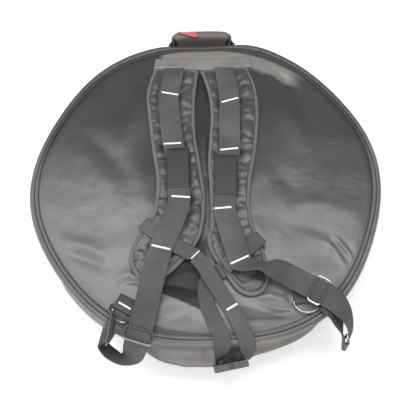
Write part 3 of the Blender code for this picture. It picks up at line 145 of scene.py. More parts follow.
TAIL_LEFT = (
    (-0.323, -0.750, 1.04, -15, 0), (-0.345, -0.843, 0.94, -17, 0), (-0.367, -0.930, 0.82, -18, 0),
    (-0.376, -0.957, 0.66, -19, 0), (-0.390, -0.986, -0.15, -22, 8), (-0.405, -1.008, -1.25, -29, 20),
    (-0.434, -1.015, -2.16, -44, 34), (-0.486, -1.001, -2.69, -73, 42),
    (-0.538, -0.970, -2.54, -90, 46), (-0.566, -0.938, -1.87, -92, 44),
    (-0.567, -0.910, -0.97, -96, 26), (-0.543, -0.894, -0.30, -101.5, -13),
)
RETURN_LEFT = ((-0.482, -0.888, -0.10, -98, -16), (-0.457, -0.897, -0.06, -92, -14),
               (-0.434, -0.913, -0.04, -84, -12))
TAIL_RIGHT = (
    (0.4066, -0.641, 1.04, 58, 0), (0.477, -0.683, 1.02, 58, 0), (0.548, -0.727, 1.00, 58, 0),
    (0.607, -0.764, 0.97, 58, 0), (0.647, -0.800, 0.82, 54, -10), (0.680, -0.850, 0.45, 38, -36),
    (0.692, -0.910, 0.00, 14, -60), (0.682, -0.957, -0.35, -10, -78),
)
RETURN_RIGHT = ((0.655, -0.955, -0.42, -10, -80), (0.643, -0.915, -0.15, 12, -62),
                (0.634, -0.845, 0.14, 34, -34), (0.606, -0.795, 0.42, 52, -10),
                (0.584, -0.762, 0.50, 57, -3))
RIGHT_FOLD = (0.662, -0.994, -0.50)

# White bar tacks seen from above: start x, y and end x, y in millimetres
PAD_TACKS_LEFT = ((-78, 169, -48, 162), (-74, 55, -44, 56), (-60, -49, -30, -52), (-92, -137, -63, -145))
PAD_TACKS_RIGHT = ((32, 143, 62, 152), (25, 40, 56, 43), (8, -74, 38, -72), (32, -172, 61, -159))
CHEST_TACKS = ((-30, -160, -17, -147), (23, -242, 39, -233))
TAB_TACKS = ((-142, -226, -124, -237),)


class Station(NamedTuple):
    """One cross-section of a flat band: its centre and the direction of its width."""

    centre: Vector
    across: Vector


class Body(str, Enum):
    """Moving bodies of the CAD part that cloth pieces ride on."""

    BACK = "bag_back"
    COVER = "front_cover"
    STRAPS = "straps"
    PLUG = "plug"
    HANDLE = "handle"


# Finishes

def linear(code: str) -> tuple[float, float, float, float]:
    """Turn an sRGB hex colour into linear light.

    Args:
        code: the colour as "#rrggbb".

    Returns:
        Linear red, green, blue and an alpha of one.
    """
    made = []
    for start in (1, 3, 5):
        share = int(code[start:start + 2], 16) / 255
        made.append(share / 12.92 if share <= 0.04045 else ((share + 0.055) / 1.055) ** 2.4)
    return made[0], made[1], made[2], 1.0


def add_node(tree: bpy.types.NodeTree, kind: str, values: Optional[dict[Any, Any]] = None,
             links: Optional[dict[Any, Any]] = None, **settings: Any) -> bpy.types.Node:
    """Add one node with its settings, socket values and incoming links.

    Args:
        tree: the tree to add to.
        kind: Blender's type name of the node.
        values: default values by input name or number.
        links: what feeds an input, by its name or number: a socket, or a node for its first output.
        settings: properties of the node itself.

    Returns:
        The new node.
    """
    node = tree.nodes.new(kind)
    for key, value in settings.items():
        setattr(node, key, value)
    for key, value in (values or {}).items():
        node.inputs[key].default_value = value
    for key, source in (links or {}).items():
        tree.links.new(source.outputs[0] if isinstance(source, bpy.types.Node) else source,
                       node.inputs[key])
    return node


def band_scale(period: float) -> float:
    """Return the Wave Texture scale whose bands repeat every so many metres."""
    return math.tau / 20 / period


@dataclass(frozen=True)
class Finish:
    """A real material: its name, sRGB colour, roughness and the record's slot that it dresses."""

    name: str
    colour: str
    roughness: float
    slot: str

    def material(self) -> bpy.types.Material:
        """Return the Blender material, made on its first use."""
        found = bpy.data.materials.get(self.name)
        if found:
            return found
        made = bpy.data.materials.new(self.name)
        made.use_nodes = True
        tree = made.node_tree
        tree.nodes.clear()
        shader = add_node(tree, "ShaderNodeBsdfPrincipled",
                          {"Base Color": linear(self.colour), "Roughness": self.roughness})
        add_node(tree, "ShaderNodeOutputMaterial", links={"Surface": shader})
        self.dress(tree, shader)
        return made

    def dress(self, tree: bpy.types.NodeTree, shader: bpy.types.Node) -> None:
        """Add this finish's own pattern and relief to the plain shader."""

    def mottle(self, tree: bpy.types.NodeTree, place: bpy.types.NodeSocket, scale: float,
               low: str, high: str, detail: float = 3.0, span: tuple[float, float] = (0.35, 0.65)
               ) -> bpy.types.NodeSocket:
        """Return a colour that drifts between two shades in soft patches.

        Args:
            tree: the material's tree.
            place: the coordinates to read.
            scale: patches per metre.
            low: darker sRGB colour.
            high: lighter sRGB colour.
            detail: how many octaves of noise.
            span: the noise values at which the two colours are reached.

        Returns:
            The colour socket.
        """
        patches = add_node(tree, "ShaderNodeTexNoise", {"Scale": scale, "Detail": detail,
                                                        "Roughness": 0.5}, {"Vector": place})
        share = add_node(tree, "ShaderNodeMapRange", {"From Min": span[0], "From Max": span[1]},
                         {"Value": patches})
        mixed = add_node(tree, "ShaderNodeMix", {6: linear(low), 7: linear(high)},
                         {0: share}, data_type="RGBA")
        return mixed.outputs[2]


class Measure(Enum):
    """What the edge of a patch reads of a place: a direction to read along, or one of three others."""

    X = (1.0, 0.0, 0.0)
    Y = (0.0, 1.0, 0.0)
    Z = (0.0, 0.0, 1.0)
    UP_THE_BACK = (0.22, 1.0, 0.0)
    PAST_THE_TIPS = (0.47, 1.0, 0.0)
    PAST_THE_CHEST_STRAP = (0.316, 1.0, 0.0)
    BESIDE_THE_PAD = (1.0, 0.333, 0.0)
    RADIUS = "distance from the bag's axis"
    UNEVEN_RADIUS = "the same with up to 3 cm of wander"
    HEADING = "angle about the bag's axis"

    def read(self, tree: bpy.types.NodeTree, place: bpy.types.NodeSocket) -> bpy.types.NodeSocket:
        """Return the socket that holds this reading of a place."""
        if isinstance(self.value, tuple):
            return add_node(tree, "ShaderNodeVectorMath", {1: self.value}, {0: place},
                            operation="DOT_PRODUCT").outputs["Value"]
        if self is Measure.HEADING:
            split = add_node(tree, "ShaderNodeSeparateXYZ", links={"Vector": place})
            return add_node(tree, "ShaderNodeMath", operation="ARCTAN2",
                            links={0: split.outputs["Y"], 1: split.outputs["X"]}).outputs["Value"]
        flat = add_node(tree, "ShaderNodeVectorMath", {1: (1.0, 1.0, 0.0)}, {0: place},
                        operation="MULTIPLY")
        radius = add_node(tree, "ShaderNodeVectorMath", links={0: flat},
                          operation="LENGTH").outputs["Value"]
        if self is Measure.RADIUS:
            return radius
        wander = add_node(tree, "ShaderNodeTexNoise", {"Scale": 16.0, "Detail": 2.0}, {"Vector": place})
        return add_node(tree, "ShaderNodeMath", {1: 0.03}, {0: wander, 2: radius},
                        operation="MULTIPLY_ADD").outputs["Value"]


class Edge(NamedTuple):
    """One soft edge of a patch: no cover at the first reading and all of it at the second."""

    measure: Measure
    bare: float
    full: float
    smooth: bool = False


class Patch(NamedTuple):
    """A place inside its edges, and how far a tint covers it."""

    cover: float
    edges: tuple[Edge, ...]


class Tint(NamedTuple):
    """A second colour and the patches that it lies on."""

    colour: str
    patches: tuple[Patch, ...]


def lay_tints(tree: bpy.types.NodeTree, place: bpy.types.NodeSocket, colour: bpy.types.NodeSocket,
              tints: Sequence[Tint]) -> tuple[bpy.types.NodeSocket, Optional[bpy.types.NodeSocket]]:
    """Lay tints over a colour in turn.

    Args:
        tree: the material's tree.
        place: the coordinates that the patches read.
        colour: the colour so far.
        tints: the tints, the lowest first.

    Returns:
        The tinted colour, and how far the last tint covers it.
    """
    readings: dict[Measure, bpy.types.NodeSocket] = {}
    cover = None
    for tint in tints:
        cover = None
        for patch in tint.patches:
            share = None
            for edge in patch.edges:
                if edge.measure not in readings:
                    readings[edge.measure] = edge.measure.read(tree, place)
                ramp = add_node(tree, "ShaderNodeMapRange",
                                {"From Min": edge.bare, "From Max": edge.full},
                                {"Value": readings[edge.measure]},
                                interpolation_type="SMOOTHSTEP" if edge.smooth else "LINEAR")
                product = add_node(tree, "ShaderNodeMath", {0: patch.cover},
                                   {1: ramp}, operation="MULTIPLY")
                if share is not None:
                    tree.links.new(share, product.inputs[0])
                share = product.outputs["Value"]
            most = add_node(tree, "ShaderNodeMath", {0: 0.0}, {1: share}, operation="MAXIMUM")
            if cover is not None:
                tree.links.new(cover, most.inputs[0])
            cover = most.outputs["Value"]
        colour = add_node(tree, "ShaderNodeMix", {7: linear(tint.colour)}, {0: cover, 6: colour},
                          data_type="RGBA").outputs[2]
    return colour, cover


@dataclass(frozen=True)
class SatinNylon(Finish):
    """Coated plain-weave nylon: a faint grid of threads, a satin gloss and soft lighter patches.

    The tints, painted shade and highlight among them, are laid over it. Where a far crumple is given,
    the crumples fade to it towards the handle, and the last tint, a painted shade, takes the gloss away
    too.
    """

    pale: str = "#8d8b8b"
    thread: float = 1.7 * MM
    crumple: float = 0.5
    far_crumple: Optional[float] = None
    tints: tuple[Tint, ...] = ()

    def dress(self, tree: bpy.types.NodeTree, shader: bpy.types.Node) -> None:
        """Weave, patches of sheen and shallow crumples, read in the object's own coordinates."""
        place = add_node(tree, "ShaderNodeTexCoord").outputs["Object"]
        colour = self.mottle(tree, place, 12.0, self.colour, self.pale, 6.0, (0.30, 0.95))
        colour, cover = lay_tints(tree, place, colour, self.tints)
        warp, weft = (add_node(tree, "ShaderNodeTexWave", {"Scale": band_scale(self.thread)},
                               {"Vector": place}, bands_direction=way).outputs["Fac"] for way in "XY")
        cloth = add_node(tree, "ShaderNodeMath", links={0: warp, 1: weft}, operation="MULTIPLY")
        folds = add_node(tree, "ShaderNodeTexNoise",
                         {"Scale": 17.0, "Detail": 3.0, "Roughness": 0.5, "Distortion": 0.5},
                         {"Vector": place})
        soft = add_node(tree, "ShaderNodeBump", {"Strength": self.crumple, "Distance": 4.5 * MM},
                        {"Height": folds})
        fine = add_node(tree, "ShaderNodeBump", {"Strength": 0.35, "Distance": 0.25 * MM},
                        {"Height": cloth, "Normal": soft})
        gloss = add_node(tree, "ShaderNodeMapRange",
                         {"To Min": self.roughness - 0.08, "To Max": self.roughness + 0.1},
                         {"Value": folds})
        shine = 0.8
        for name, value in (("Sheen Weight", 0.15), ("Sheen Roughness", 0.4),
                            ("Specular IOR Level", shine)):
            shader.inputs[name].default_value = value
        links = [(colour, shader.inputs["Base Color"]),
                 (gloss.outputs["Result"], shader.inputs["Roughness"]),
                 (fine.outputs["Normal"], shader.inputs["Normal"])]
        if self.far_crumple is not None:
            # The last tint is painted shade: where it lies, the gloss is taken away with the colour.
            painted_shade_gloss = add_node(tree, "ShaderNodeMapRange", {"To Min": shine, "To Max": 0.06},
                            {"Value": cover})
            calm = add_node(tree, "ShaderNodeMapRange",
                            {"From Min": 0.12, "From Max": -0.04, "To Min": self.far_crumple,
                             "To Max": self.crumple},
                            {"Value": Measure.Y.read(tree, place)}, interpolation_type="SMOOTHSTEP")
            links += [(painted_shade_gloss.outputs["Result"], shader.inputs["Specular IOR Level"]),
                      (calm.outputs["Result"], soft.inputs["Strength"])]
        for socket, target in links:
            tree.links.new(socket, target)


@dataclass(frozen=True)
class BeltWeave(Finish):
    """Polypropylene webbing: dull, with a tight weave of cords that follows the belt's length.

    The threads are drawn at about 2 mm, twice their real pitch, so that they show from a step away.
    """

    pale: str = "#6b6a68"
    cord: float = 2.1 * MM
    pick: float = 1.7 * MM

    def dress(self, tree: bpy.types.NodeTree, shader: bpy.types.Node) -> None:
        """Cords along the belt crossed by picks, in the belt's own UV metres."""
        run = add_node(tree, "ShaderNodeUVMap", uv_map="run").outputs["UV"]
        cords = add_node(tree, "ShaderNodeTexWave", {"Scale": band_scale(self.cord)},
                         {"Vector": run}, bands_direction="X")
        picks = add_node(tree, "ShaderNodeTexWave",
                         {"Scale": band_scale(self.pick), "Distortion": 0.6, "Detail": 1.0},
                         {"Vector": run}, bands_direction="Y")
        weave = add_node(tree, "ShaderNodeMath", operation="MULTIPLY",
                         links={0: cords.outputs["Fac"], 1: picks.outputs["Fac"]})
        tone = add_node(tree, "ShaderNodeMix", {6: linear(self.colour), 7: linear(self.pale)},
                        {0: weave}, data_type="RGBA")
        place = add_node(tree, "ShaderNodeTexCoord").outputs["Object"]
        worn = self.mottle(tree, place, 14.0, "#d4d4d4", "#ffffff")
        mixed = add_node(tree, "ShaderNodeMix", {0: 1.0}, {6: tone.outputs[2], 7: worn},
                         data_type="RGBA", blend_type="MULTIPLY")
        tree.links.new(mixed.outputs[2], shader.inputs["Base Color"])
        shader.inputs["Specular IOR Level"].default_value = 0.3
        relief = add_node(tree, "ShaderNodeBump", {"Strength": 0.22, "Distance": 0.3 * MM},
                          {"Height": weave})
        tree.links.new(relief.outputs["Normal"], shader.inputs["Normal"])


@dataclass(frozen=True)
class RibbedTape(Finish):
    """Grosgrain edge binding: fine ribs across the tape and a slow drift in its grey."""

    rib: float = 1.6 * MM
    pale: str = "#6a6968"
    tints: tuple[Tint, ...] = ()

    def dress(self, tree: bpy.types.NodeTree, shader: bpy.types.Node) -> None:
        """Ribs across the tape's run, in its own UV metres."""
        run = add_node(tree, "ShaderNodeUVMap", uv_map="run").outputs["UV"]
        ribs = add_node(tree, "ShaderNodeTexWave", {"Scale": band_scale(self.rib)},
                        {"Vector": run}, bands_direction="Y")
        place = add_node(tree, "ShaderNodeTexCoord").outputs["Object"]
        colour = self.mottle(tree, place, 30.0, self.colour, self.pale)
        tree.links.new(lay_tints(tree, place, colour, self.tints)[0], shader.inputs["Base Color"])
        relief = add_node(tree, "ShaderNodeBump", {"Strength": 0.5, "Distance": 0.3 * MM},
                          {"Height": ribs.outputs["Fac"]})
        tree.links.new(relief.outputs["Normal"], shader.inputs["Normal"])


@dataclass(frozen=True)
class HardSurface(Finish):
    """Moulded or plated surface with faint handling marks that break up its gloss."""

    metallic: float = 0.0
    coat: float = 0.0
    grain: float = 900.0
    depth: float = 0.05

    def dress(self, tree: bpy.types.NodeTree, shader: bpy.types.Node) -> None:
        """Fine grain in the relief and slow drift in the gloss."""
        place = add_node(tree, "ShaderNodeTexCoord").outputs["Object"]
        for name, value in (("Metallic", self.metallic), ("Coat Weight", self.coat),
                            ("Coat Roughness", 0.08)):
            shader.inputs[name].default_value = value
        marks = add_node(tree, "ShaderNodeTexNoise", {"Scale": 120.0, "Detail": 4.0}, {"Vector": place})
        gloss = add_node(tree, "ShaderNodeMapRange",
                         {"To Min": self.roughness * 0.7, "To Max": self.roughness * 1.4},
                         {"Value": marks})
        tree.links.new(gloss.outputs["Result"], shader.inputs["Roughness"])
        spark = add_node(tree, "ShaderNodeTexNoise", {"Scale": self.grain, "Detail": 2.0},
                         {"Vector": place})
        relief = add_node(tree, "ShaderNodeBump", {"Strength": self.depth, "Distance": 0.2 * MM},
                          {"Height": spark})
        tree.links.new(relief.outputs["Normal"], shader.inputs["Normal"])


@dataclass(frozen=True)
class ShadePaintedWire(HardSurface):
    """Plated wire painted dark and dull for its shade and dark reflections, left bright metal past a
    line across each adjuster.
    """

    middle: tuple[float, float, float] = (0.0, 0.0, 0.0)
    outward: tuple[float, float, float] = (1.0, 0.0, 0.0)
    near: float = 0.018
    both: bool = True
    bare: str = "#b4b3b0"

    def dress(self, tree: bpy.types.NodeTree, shader: bpy.types.Node) -> None:
        """Painted dark and dull between the line and the middle, bright metal beyond it."""
        super().dress(tree, shader)
        place = add_node(tree, "ShaderNodeTexCoord").outputs["Object"]
        away = add_node(tree, "ShaderNodeVectorMath", {1: self.middle}, {0: place}, operation="SUBTRACT")
        reach = add_node(tree, "ShaderNodeVectorMath", {1: self.outward}, {0: away},
                         operation="DOT_PRODUCT").outputs["Value"]
        if self.both:
            reach = add_node(tree, "ShaderNodeMath", links={0: reach},
                             operation="ABSOLUTE").outputs["Value"]
        # Bright metal past the line; nearer the middle the wire is painted dark, painted shade and dark
        # reflection.
        worn = add_node(tree, "ShaderNodeMapRange",
                        {"From Min": self.near, "From Max": self.near + 1.5 * MM}, {"Value": reach})
        tone = add_node(tree, "ShaderNodeMix", {6: linear(self.colour), 7: linear(self.bare)},
                        {0: worn}, data_type="RGBA")
        tree.links.new(tone.outputs[2], shader.inputs["Base Color"])
        tree.links.new(worn.outputs["Result"], shader.inputs["Metallic"])


# Painted shade: darker far halves of the side wall's crown and of the piping
FAR_CROWN_SHADE = Tint("#1f1e1e", (Patch(0.7, (Edge(Measure.Y, 0.0, 0.14, True),
                                         Edge(Measure.Z, 0.060, 0.072))),))
FAR_PIPING_SHADE = Tint("#2b2a2a", (Patch(0.85, (Edge(Measure.Y, -0.04, 0.10, True),)),))
BEYOND_THE_YOKE = (Edge(Measure.HEADING, math.radians(45), math.radians(53), True),
                   Edge(Measure.HEADING, math.radians(107.5), math.radians(106)))
BACK_PAINTED_SHADE_AND_SHEEN = (
    # Painted sheen: lighter and greyer toward the foot, where the lamps' gloss falls
    Tint("#6d6b6b", (Patch(0.92, (Edge(Measure.UP_THE_BACK, 0.077, -0.168, True),)),)),
    # Painted highlight: a pale band beyond the yoke; painted shadow: a dark line beside the piping
    Tint("#7b7875", (Patch(1.0, (Edge(Measure.UNEVEN_RADIUS, 0.262, 0.272, True), *BEYOND_THE_YOKE)),)),
    Tint("#242323", (Patch(0.75, (Edge(Measure.RADIUS, PANEL_RADIUS - 5.5 * MM, PANEL_RADIUS - 4 * MM),
                                  *BEYOND_THE_YOKE)),)),
    # Painted shade on the strip between the pads
    Tint("#0c0c0d", (Patch(0.9, (Edge(Measure.X, -0.040, -0.030), Edge(Measure.X, 0.040, 0.030),
                                 Edge(Measure.Y, -0.150, -0.080, True),
                                 Edge(Measure.Y, 0.230, 0.224))),)),
    # Painted shade where the cloth dips away from the light: between the pads' tips, along the foot,
    # beside the chest strap and beside the left pad
    Tint("#1d1c1d", (
        Patch(0.86, (Edge(Measure.PAST_THE_TIPS, -0.2495, -0.2455, True), Edge(Measure.X, 0.004, -0.008),
                     Edge(Measure.X, -0.092, -0.080), Edge(Measure.Y, -0.105, -0.130))),
        Patch(0.42, (Edge(Measure.RADIUS, PANEL_RADIUS - 13 * MM, PANEL_RADIUS - 11 * MM),
                     Edge(Measure.HEADING, math.radians(-126), math.radians(-118)),
                     Edge(Measure.HEADING, math.radians(-80), math.radians(-88)))),
        Patch(0.5, (Edge(Measure.PAST_THE_CHEST_STRAP, -0.2160, -0.2230, True),
                    Edge(Measure.Y, -0.2590, -0.2555, True), Edge(Measure.X, 0.036, 0.046))),
        Patch(0.5, (Edge(Measure.BESIDE_THE_PAD, -0.136, -0.098, True), Edge(Measure.X, -0.060, -0.070),
                    Edge(Measure.Y, -0.068, -0.045, True), Edge(Measure.Y, 0.100, 0.015, True))),
    )),
)

# 420 denier nylon with a backing coat, woven and calendered: a dark satin, with painted sheen and shade
# on the back panel
BACK_NYLON = SatinNylon("calendered nylon, back panel", "#2e2d2e", 0.34, "bag_nylon", "#3c3b3b",
                        far_crumple=0.12, tints=BACK_PAINTED_SHADE_AND_SHEEN)
SIDE_NYLON = SatinNylon("calendered nylon, side wall", "#504d4b", 0.40, "bag_nylon", "#716d6a",
                        tints=(FAR_CROWN_SHADE,))
# Its pale colour is painted highlight, matched to the pale band painted on the back panel
YOKE_NYLON = SatinNylon("calendered nylon, yoke with painted highlight", "#74716e", 0.36, "bag_nylon", "#969390",
                        crumple=0.35)
# Soft strap cloth over foam: shinier on its bulges, with tight puckers
PAD_CLOTH = SatinNylon("quilted strap cloth", "#363534", 0.36, "pad_mesh", "#55534f", 1.4 * MM, 0.75)
GRIP_CLOTH = SatinNylon("coarse grip cloth", "#625e5b", 0.68, "piping_binding", "#7a7672")
BELT = BeltWeave("woven polypropylene webbing", "#595856", 0.72, "polyester_webbing")
TAPE = RibbedTape("grosgrain binding tape", "#6b6a68", 0.6, "piping_binding")
PIPING_TAPE = RibbedTape("grosgrain piping tape", "#63625f", 0.6, "piping_binding", tints=(FAR_PIPING_SHADE,))
# Vinyl-backed patch, smooth and nearly black
PATCH = HardSurface("smooth coated patch", "#2f2f30", 0.46, "patch_nylon", depth=0.12, grain=500.0)
COIL = HardSurface("extruded nylon zip coil", "#2c2c2e", 0.38, "zip_coil", depth=0.1)
NICKEL = HardSurface("nickel plated steel wire", "#7d7c79", 0.26, "ring_steel", 1.0, depth=0.02)
ACETAL = HardSurface("injection moulded acetal", "#5c5c5b", 0.3, "black_acetal", depth=0.15)
# The adjusters' plated wire is painted dark where it lies in shade and reflects dark, and is bright
# metal at its ends
GLIDE_LEFT_SHADE_PAINTED = ShadePaintedWire(
    "plated wire with painted shade, left adjuster", "#4c4b49", 0.6, "black_acetal", depth=0.03,
    middle=(-0.1101, -0.2790, 0.095), outward=(-0.309, -0.951, 0.0), near=0.0072, both=False,
    bare="#9a9996")
GLIDE_RIGHT_SHADE_PAINTED = ShadePaintedWire(
    "plated wire with painted shade, right adjuster", "#3d3d3d", 0.34, "black_acetal", depth=0.03,
    middle=(0.1644, -0.2181, 0.0974), outward=(0.530, 0.848, 0.0), near=0.0185)
RED = HardSurface("glossy red vinyl moulding", "#db5f59", 0.25, "red_pull", coat=0.6, depth=0.03)
WHITE_THREAD = HardSurface("white bonded polyester thread", "#f4f3f0", 0.55, "polyester_webbing",
                           grain=1500.0, depth=0.3)
DARK_THREAD = HardSurface("black bonded polyester thread", "#333333", 0.5, "polyester_webbing",
                          grain=1500.0, depth=0.3)


# Shape tools

def smooth_points(points: Sequence[Vector], steps: int, closed: bool = False) -> list[Vector]:
    """Run a Catmull-Rom curve through the points.

    Args:
        points: the points to pass through.
        steps: how many pieces each span is cut into.
        closed: whether the last point joins the first.

    Returns:
        The points of the finer line.
    """
    count = len(points)
    made = []
    for span in range(count if closed else count - 1):
        near = []
        for shift in (-1, 0, 1, 2):
            index = (span + shift) % count if closed else min(max(span + shift, 0), count - 1)
            near.append(points[index])
        for step in range(steps):
            t = step / steps
            made.append(0.5 * ((2 * near[1]) + (near[2] - near[0]) * t
                               + (2 * near[0] - 5 * near[1] + 4 * near[2] - near[3]) * t * t
                               + (3 * near[1] - near[0] - 3 * near[2] + near[3]) * t * t * t))
    if not closed:
        made.append(points[-1].copy())
    return made


def direction(heading: float, tilt: float) -> Vector:
    """Return the unit vector with this heading about +Z and this tilt above the level."""
    return Vector((math.cos(heading) * math.cos(tilt), math.sin(heading) * math.cos(tilt),
                   math.sin(tilt)))


def round_axis(radius: float, angle: float, height: float) -> Vector:
    """Return the place at a radius and an angle about the bag's axis."""
    return Vector((radius * math.cos(angle), radius * math.sin(angle), height))


def on_bag(x_share: float, y_share: float, rise_share: float) -> Vector:
    """Return a place given in shares of the radius and of the straps' rise above the panel."""
    return Vector((x_share * GUSSET_RADIUS, y_share * GUSSET_RADIUS,
                   BAG_DEPTH + rise_share * STRAP_RISE))


def route(table: Sequence[Sequence[float]], steps: int = 8) -> list[Station]:
    """Turn a webbing route's rows into smooth stations."""
    centres = [on_bag(*row[:3]) for row in table]
    widths = [direction(math.radians(row[3]), math.radians(row[4])) for row in table]
    return [Station(centre, width.normalized()) for centre, width in
            zip(smooth_points(centres, steps), smooth_points(widths, steps))]


def wrapped(centre: Vector, across: Vector, radius: float, first: Vector, turn: float,
            steps: int = 12) -> list[Station]:
    """Return stations round a bar, from the first direction through a signed turn."""
    return [Station(centre + (Matrix.Rotation(turn * i / steps, 3, across) @ first) * radius, across)
            for i in range(steps + 1)]


def new_object(name: str, data: bpy.types.ID) -> bpy.types.Object:
    """Return a new object that is linked to the scene."""
    made = bpy.data.objects.new(name, data)
    bpy.context.collection.objects.link(made)
    return made


def mesh_piece(name: str, verts: Sequence[Vector], faces: Sequence[Sequence[int]], finish: Finish,
               uvs: Optional[Sequence[Sequence[tuple[float, float]]]] = None, even: bool = False
               ) -> bpy.types.Object:
    """Make a smooth-shaded object from its points and faces.

    Args:
        name: the piece's name.
        verts: its points, in metres.
        faces: rows of point numbers.
        finish: its material.
        uvs: for each face, one UV pair in metres for each of its corners.
        even: whether all faces are turned to look outward.

    Returns:
        The new object, at the origin.
    """
    mesh = bpy.data.meshes.new(name)
    mesh.from_pydata([tuple(v) for v in verts], [], [tuple(f) for f in faces])
    if uvs is not None:
        layer = mesh.uv_layers.new(name="run")
        flat = [value for face in uvs for pair in face for value in pair]
        layer.data.foreach_set("uv", flat)
    mesh.materials.append(finish.material())
    if even:
        bm = bmesh.new()
        bm.from_mesh(mesh)
        bmesh.ops.recalc_face_normals(bm, faces=bm.faces)
        bm.to_mesh(mesh)
        bm.free()
    mesh.shade_smooth()
    return new_object(name, mesh)


def tube_faces(levels: int, size: int, joined: bool = False) -> list[tuple[int, ...]]:
    """Return the faces between rings of points.

    Args:
        levels: how many rings there are.
        size: how many points each ring has.
        joined: whether the last ring meets the first.

    Returns:
        Rows of point numbers, ring by ring.
    """
    faces = []
    for level in range(levels if joined else levels - 1):
        low, high = level * size, (level + 1) % levels * size
        for i in range(size):
            j = (i + 1) % size
            faces.append((low + i, low + j, high + j, high + i))
    return faces


def sheet_faces(across: int, along: int) -> list[tuple[int, ...]]:
    """Return the faces of a sheet with an under and an upper layer and a closed rim.

    Args:
        across: faces from side to side.
        along: faces from end to end.

    Returns:
        Rows of point numbers; each layer's points run from side to side first.
    """
    size = across + 1
    upper = size * (along + 1)
    faces = []
    for j in range(along):
        for i in range(across):
            a = j * size + i
            b = upper + a
            faces += [(a, a + size, a + size + 1, a + 1), (b, b + 1, b + size + 1, b + size)]
    rim = [*range(across), *(j * size + across for j in range(along)),
           *(along * size + i for i in range(across, 0, -1)), *(j * size for j in range(along, 0, -1))]
    for a, b in zip(rim, rim[1:] + rim[:1]):
        faces.append((a, b, b + upper, a + upper))
    return faces


def settle(piece: bpy.types.Object, body: Body, finish: Finish, *nodes: str) -> bpy.types.Object:
    """Let a finished piece ride on its body in place of its CAD nodes.

    Args:
        piece: the finished object.
        body: the CAD body that it moves with.
        finish: not used.
        nodes: the CAD nodes that it stands for.

    Returns:
        The same object.
    """
    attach(piece, body.value)
    if nodes:
        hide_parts(*nodes)
    LOG.info("%s: %d faces on %s", piece.name, len(piece.data.polygons), body.value)
    return piece


def realised(piece: bpy.types.Object) -> bpy.types.Object:
    """Turn an object's live modifiers into a plain mesh."""
    bpy.context.view_layer.update()
    graph = bpy.context.evaluated_depsgraph_get()
    mesh = bpy.data.meshes.new_from_object(piece.evaluated_get(graph))
    piece.modifiers.clear()
    piece.data = mesh
    return piece


@dataclass
class Ribbon:
    """A woven band of real thickness with soft edges, swept through its stations."""

    name: str
    stations: list[Station]
    width: float
    thickness: float = BELT_THICKNESS
    finish: Finish = BELT
    columns: int = 6

    def section(self) -> list[tuple[float, float]]:
        """Return the loop of the cross-section as places across and through the band."""
        half, rise = self.width / 2, self.thickness / 2
        inner = half - rise
        top = [(-inner + 2 * inner * i / self.columns, rise) for i in range(self.columns + 1)]
        round_off = rise * 0.7
        loop = [(-half, 0.0), (-half + rise * 0.3, round_off), *top, (half - rise * 0.3, round_off)]
        return loop + [(-x, -y) for x, y in loop]

    def build(self) -> bpy.types.Object:
        """Sweep the section, with the weave's UV in metres across and along."""
        loop = self.section()
        size, levels = len(loop), len(self.stations)
        verts: list[Vector] = []
        runs = [0.0]
        for i, station in enumerate(self.stations):
            ahead = self.stations[min(i + 1, levels - 1)].centre
            behind = self.stations[max(i - 1, 0)].centre
            up = (ahead - behind).cross(station.across).normalized()
            if i:
                runs.append(runs[-1] + (station.centre - behind).length)
            verts += [station.centre + station.across * x + up * y for x, y in loop]
        uvs = [((x, low), (ahead, low), (ahead, high), (x, high))
               for low, high in zip(runs, runs[1:])
               for (x, _), (ahead, _) in zip(loop, loop[1:] + loop[:1])]
        ends = [tuple(range(start, start + size)) for start in (0, (levels - 1) * size)]
        return mesh_piece(self.name, verts, tube_faces(levels, size) + ends, self.finish,
                          [*uvs, loop, loop], even=True)


def still(point: Vector) -> Vector:
    """Leave a point where it is."""
    return point


def spun_cloth(name: str, profile: Sequence[tuple[float, float]], sectors: int, finish: Finish,
               shift: Callable[[Vector], Vector] = still, start: float = 0.0,
               sweep: float = math.tau) -> bpy.types.Object:
    """Spin a closed profile about the bag's axis and let a function move each point.

    Args:
        name: the piece's name.
        profile: radius and height of each profile point; a radius of zero is a pole.
        sectors: how many steps the sweep has.
        finish: its material.
        shift: takes a point and returns where it lies, the same place by default.
        start: heading of the first column.
        sweep: angle swept, a whole turn by default.

    Returns:
        The new object.
    """
    whole = math.isclose(sweep, math.tau)
    columns = sectors if whole else sectors + 1
    angles = [start + sweep * i / sectors for i in range(columns)]
    verts: list[Vector] = []
    rows: list[list[int]] = []
    for radius, height in profile:
        if radius < 1e-9:
            rows.append([len(verts)] * columns)
            verts.append(shift(Vector((0, 0, height))))
            continue
        rows.append(list(range(len(verts), len(verts) + columns)))
        verts += [shift(round_axis(radius, angle, height)) for angle in angles]
    faces, uvs = [], []
    count = len(profile)
    pole = profile[0][0] < 1e-9
    last_row = count - 1 if pole else count
    runs = [0.0]
    for i in range(1, count + 1):
        here, before = profile[i % count], profile[i - 1]
        runs.append(runs[-1] + math.hypot(here[0] - before[0], here[1] - before[1]))
    for level in range(last_row):
        lower, upper = rows[level], rows[(level + 1) % count]
        for i in range(columns if whole else columns - 1):
            j = (i + 1) % columns
            corners = [lower[i], lower[j], upper[j], upper[i]]
            along = (angles[i] - start) * GUSSET_RADIUS
            ahead = along + sweep / sectors * GUSSET_RADIUS
            places = [(runs[level], along), (runs[level], ahead), (runs[level + 1], ahead),
                      (runs[level + 1], along)]
            kept = [k for k in range(4) if corners[k] != corners[k - 1]]
            if len(kept) >= 3:
                faces.append([corners[k] for k in kept])
                uvs.append([places[k] for k in kept])
    if not whole:
        for column in (0, columns - 1):
            faces.append([row[column] for row in rows])
            uvs.append([(0.0, 0.0)] * count)
    return mesh_piece(name, verts, faces, finish, uvs, even=True)


# Geometry Nodes for what repeats or follows a line

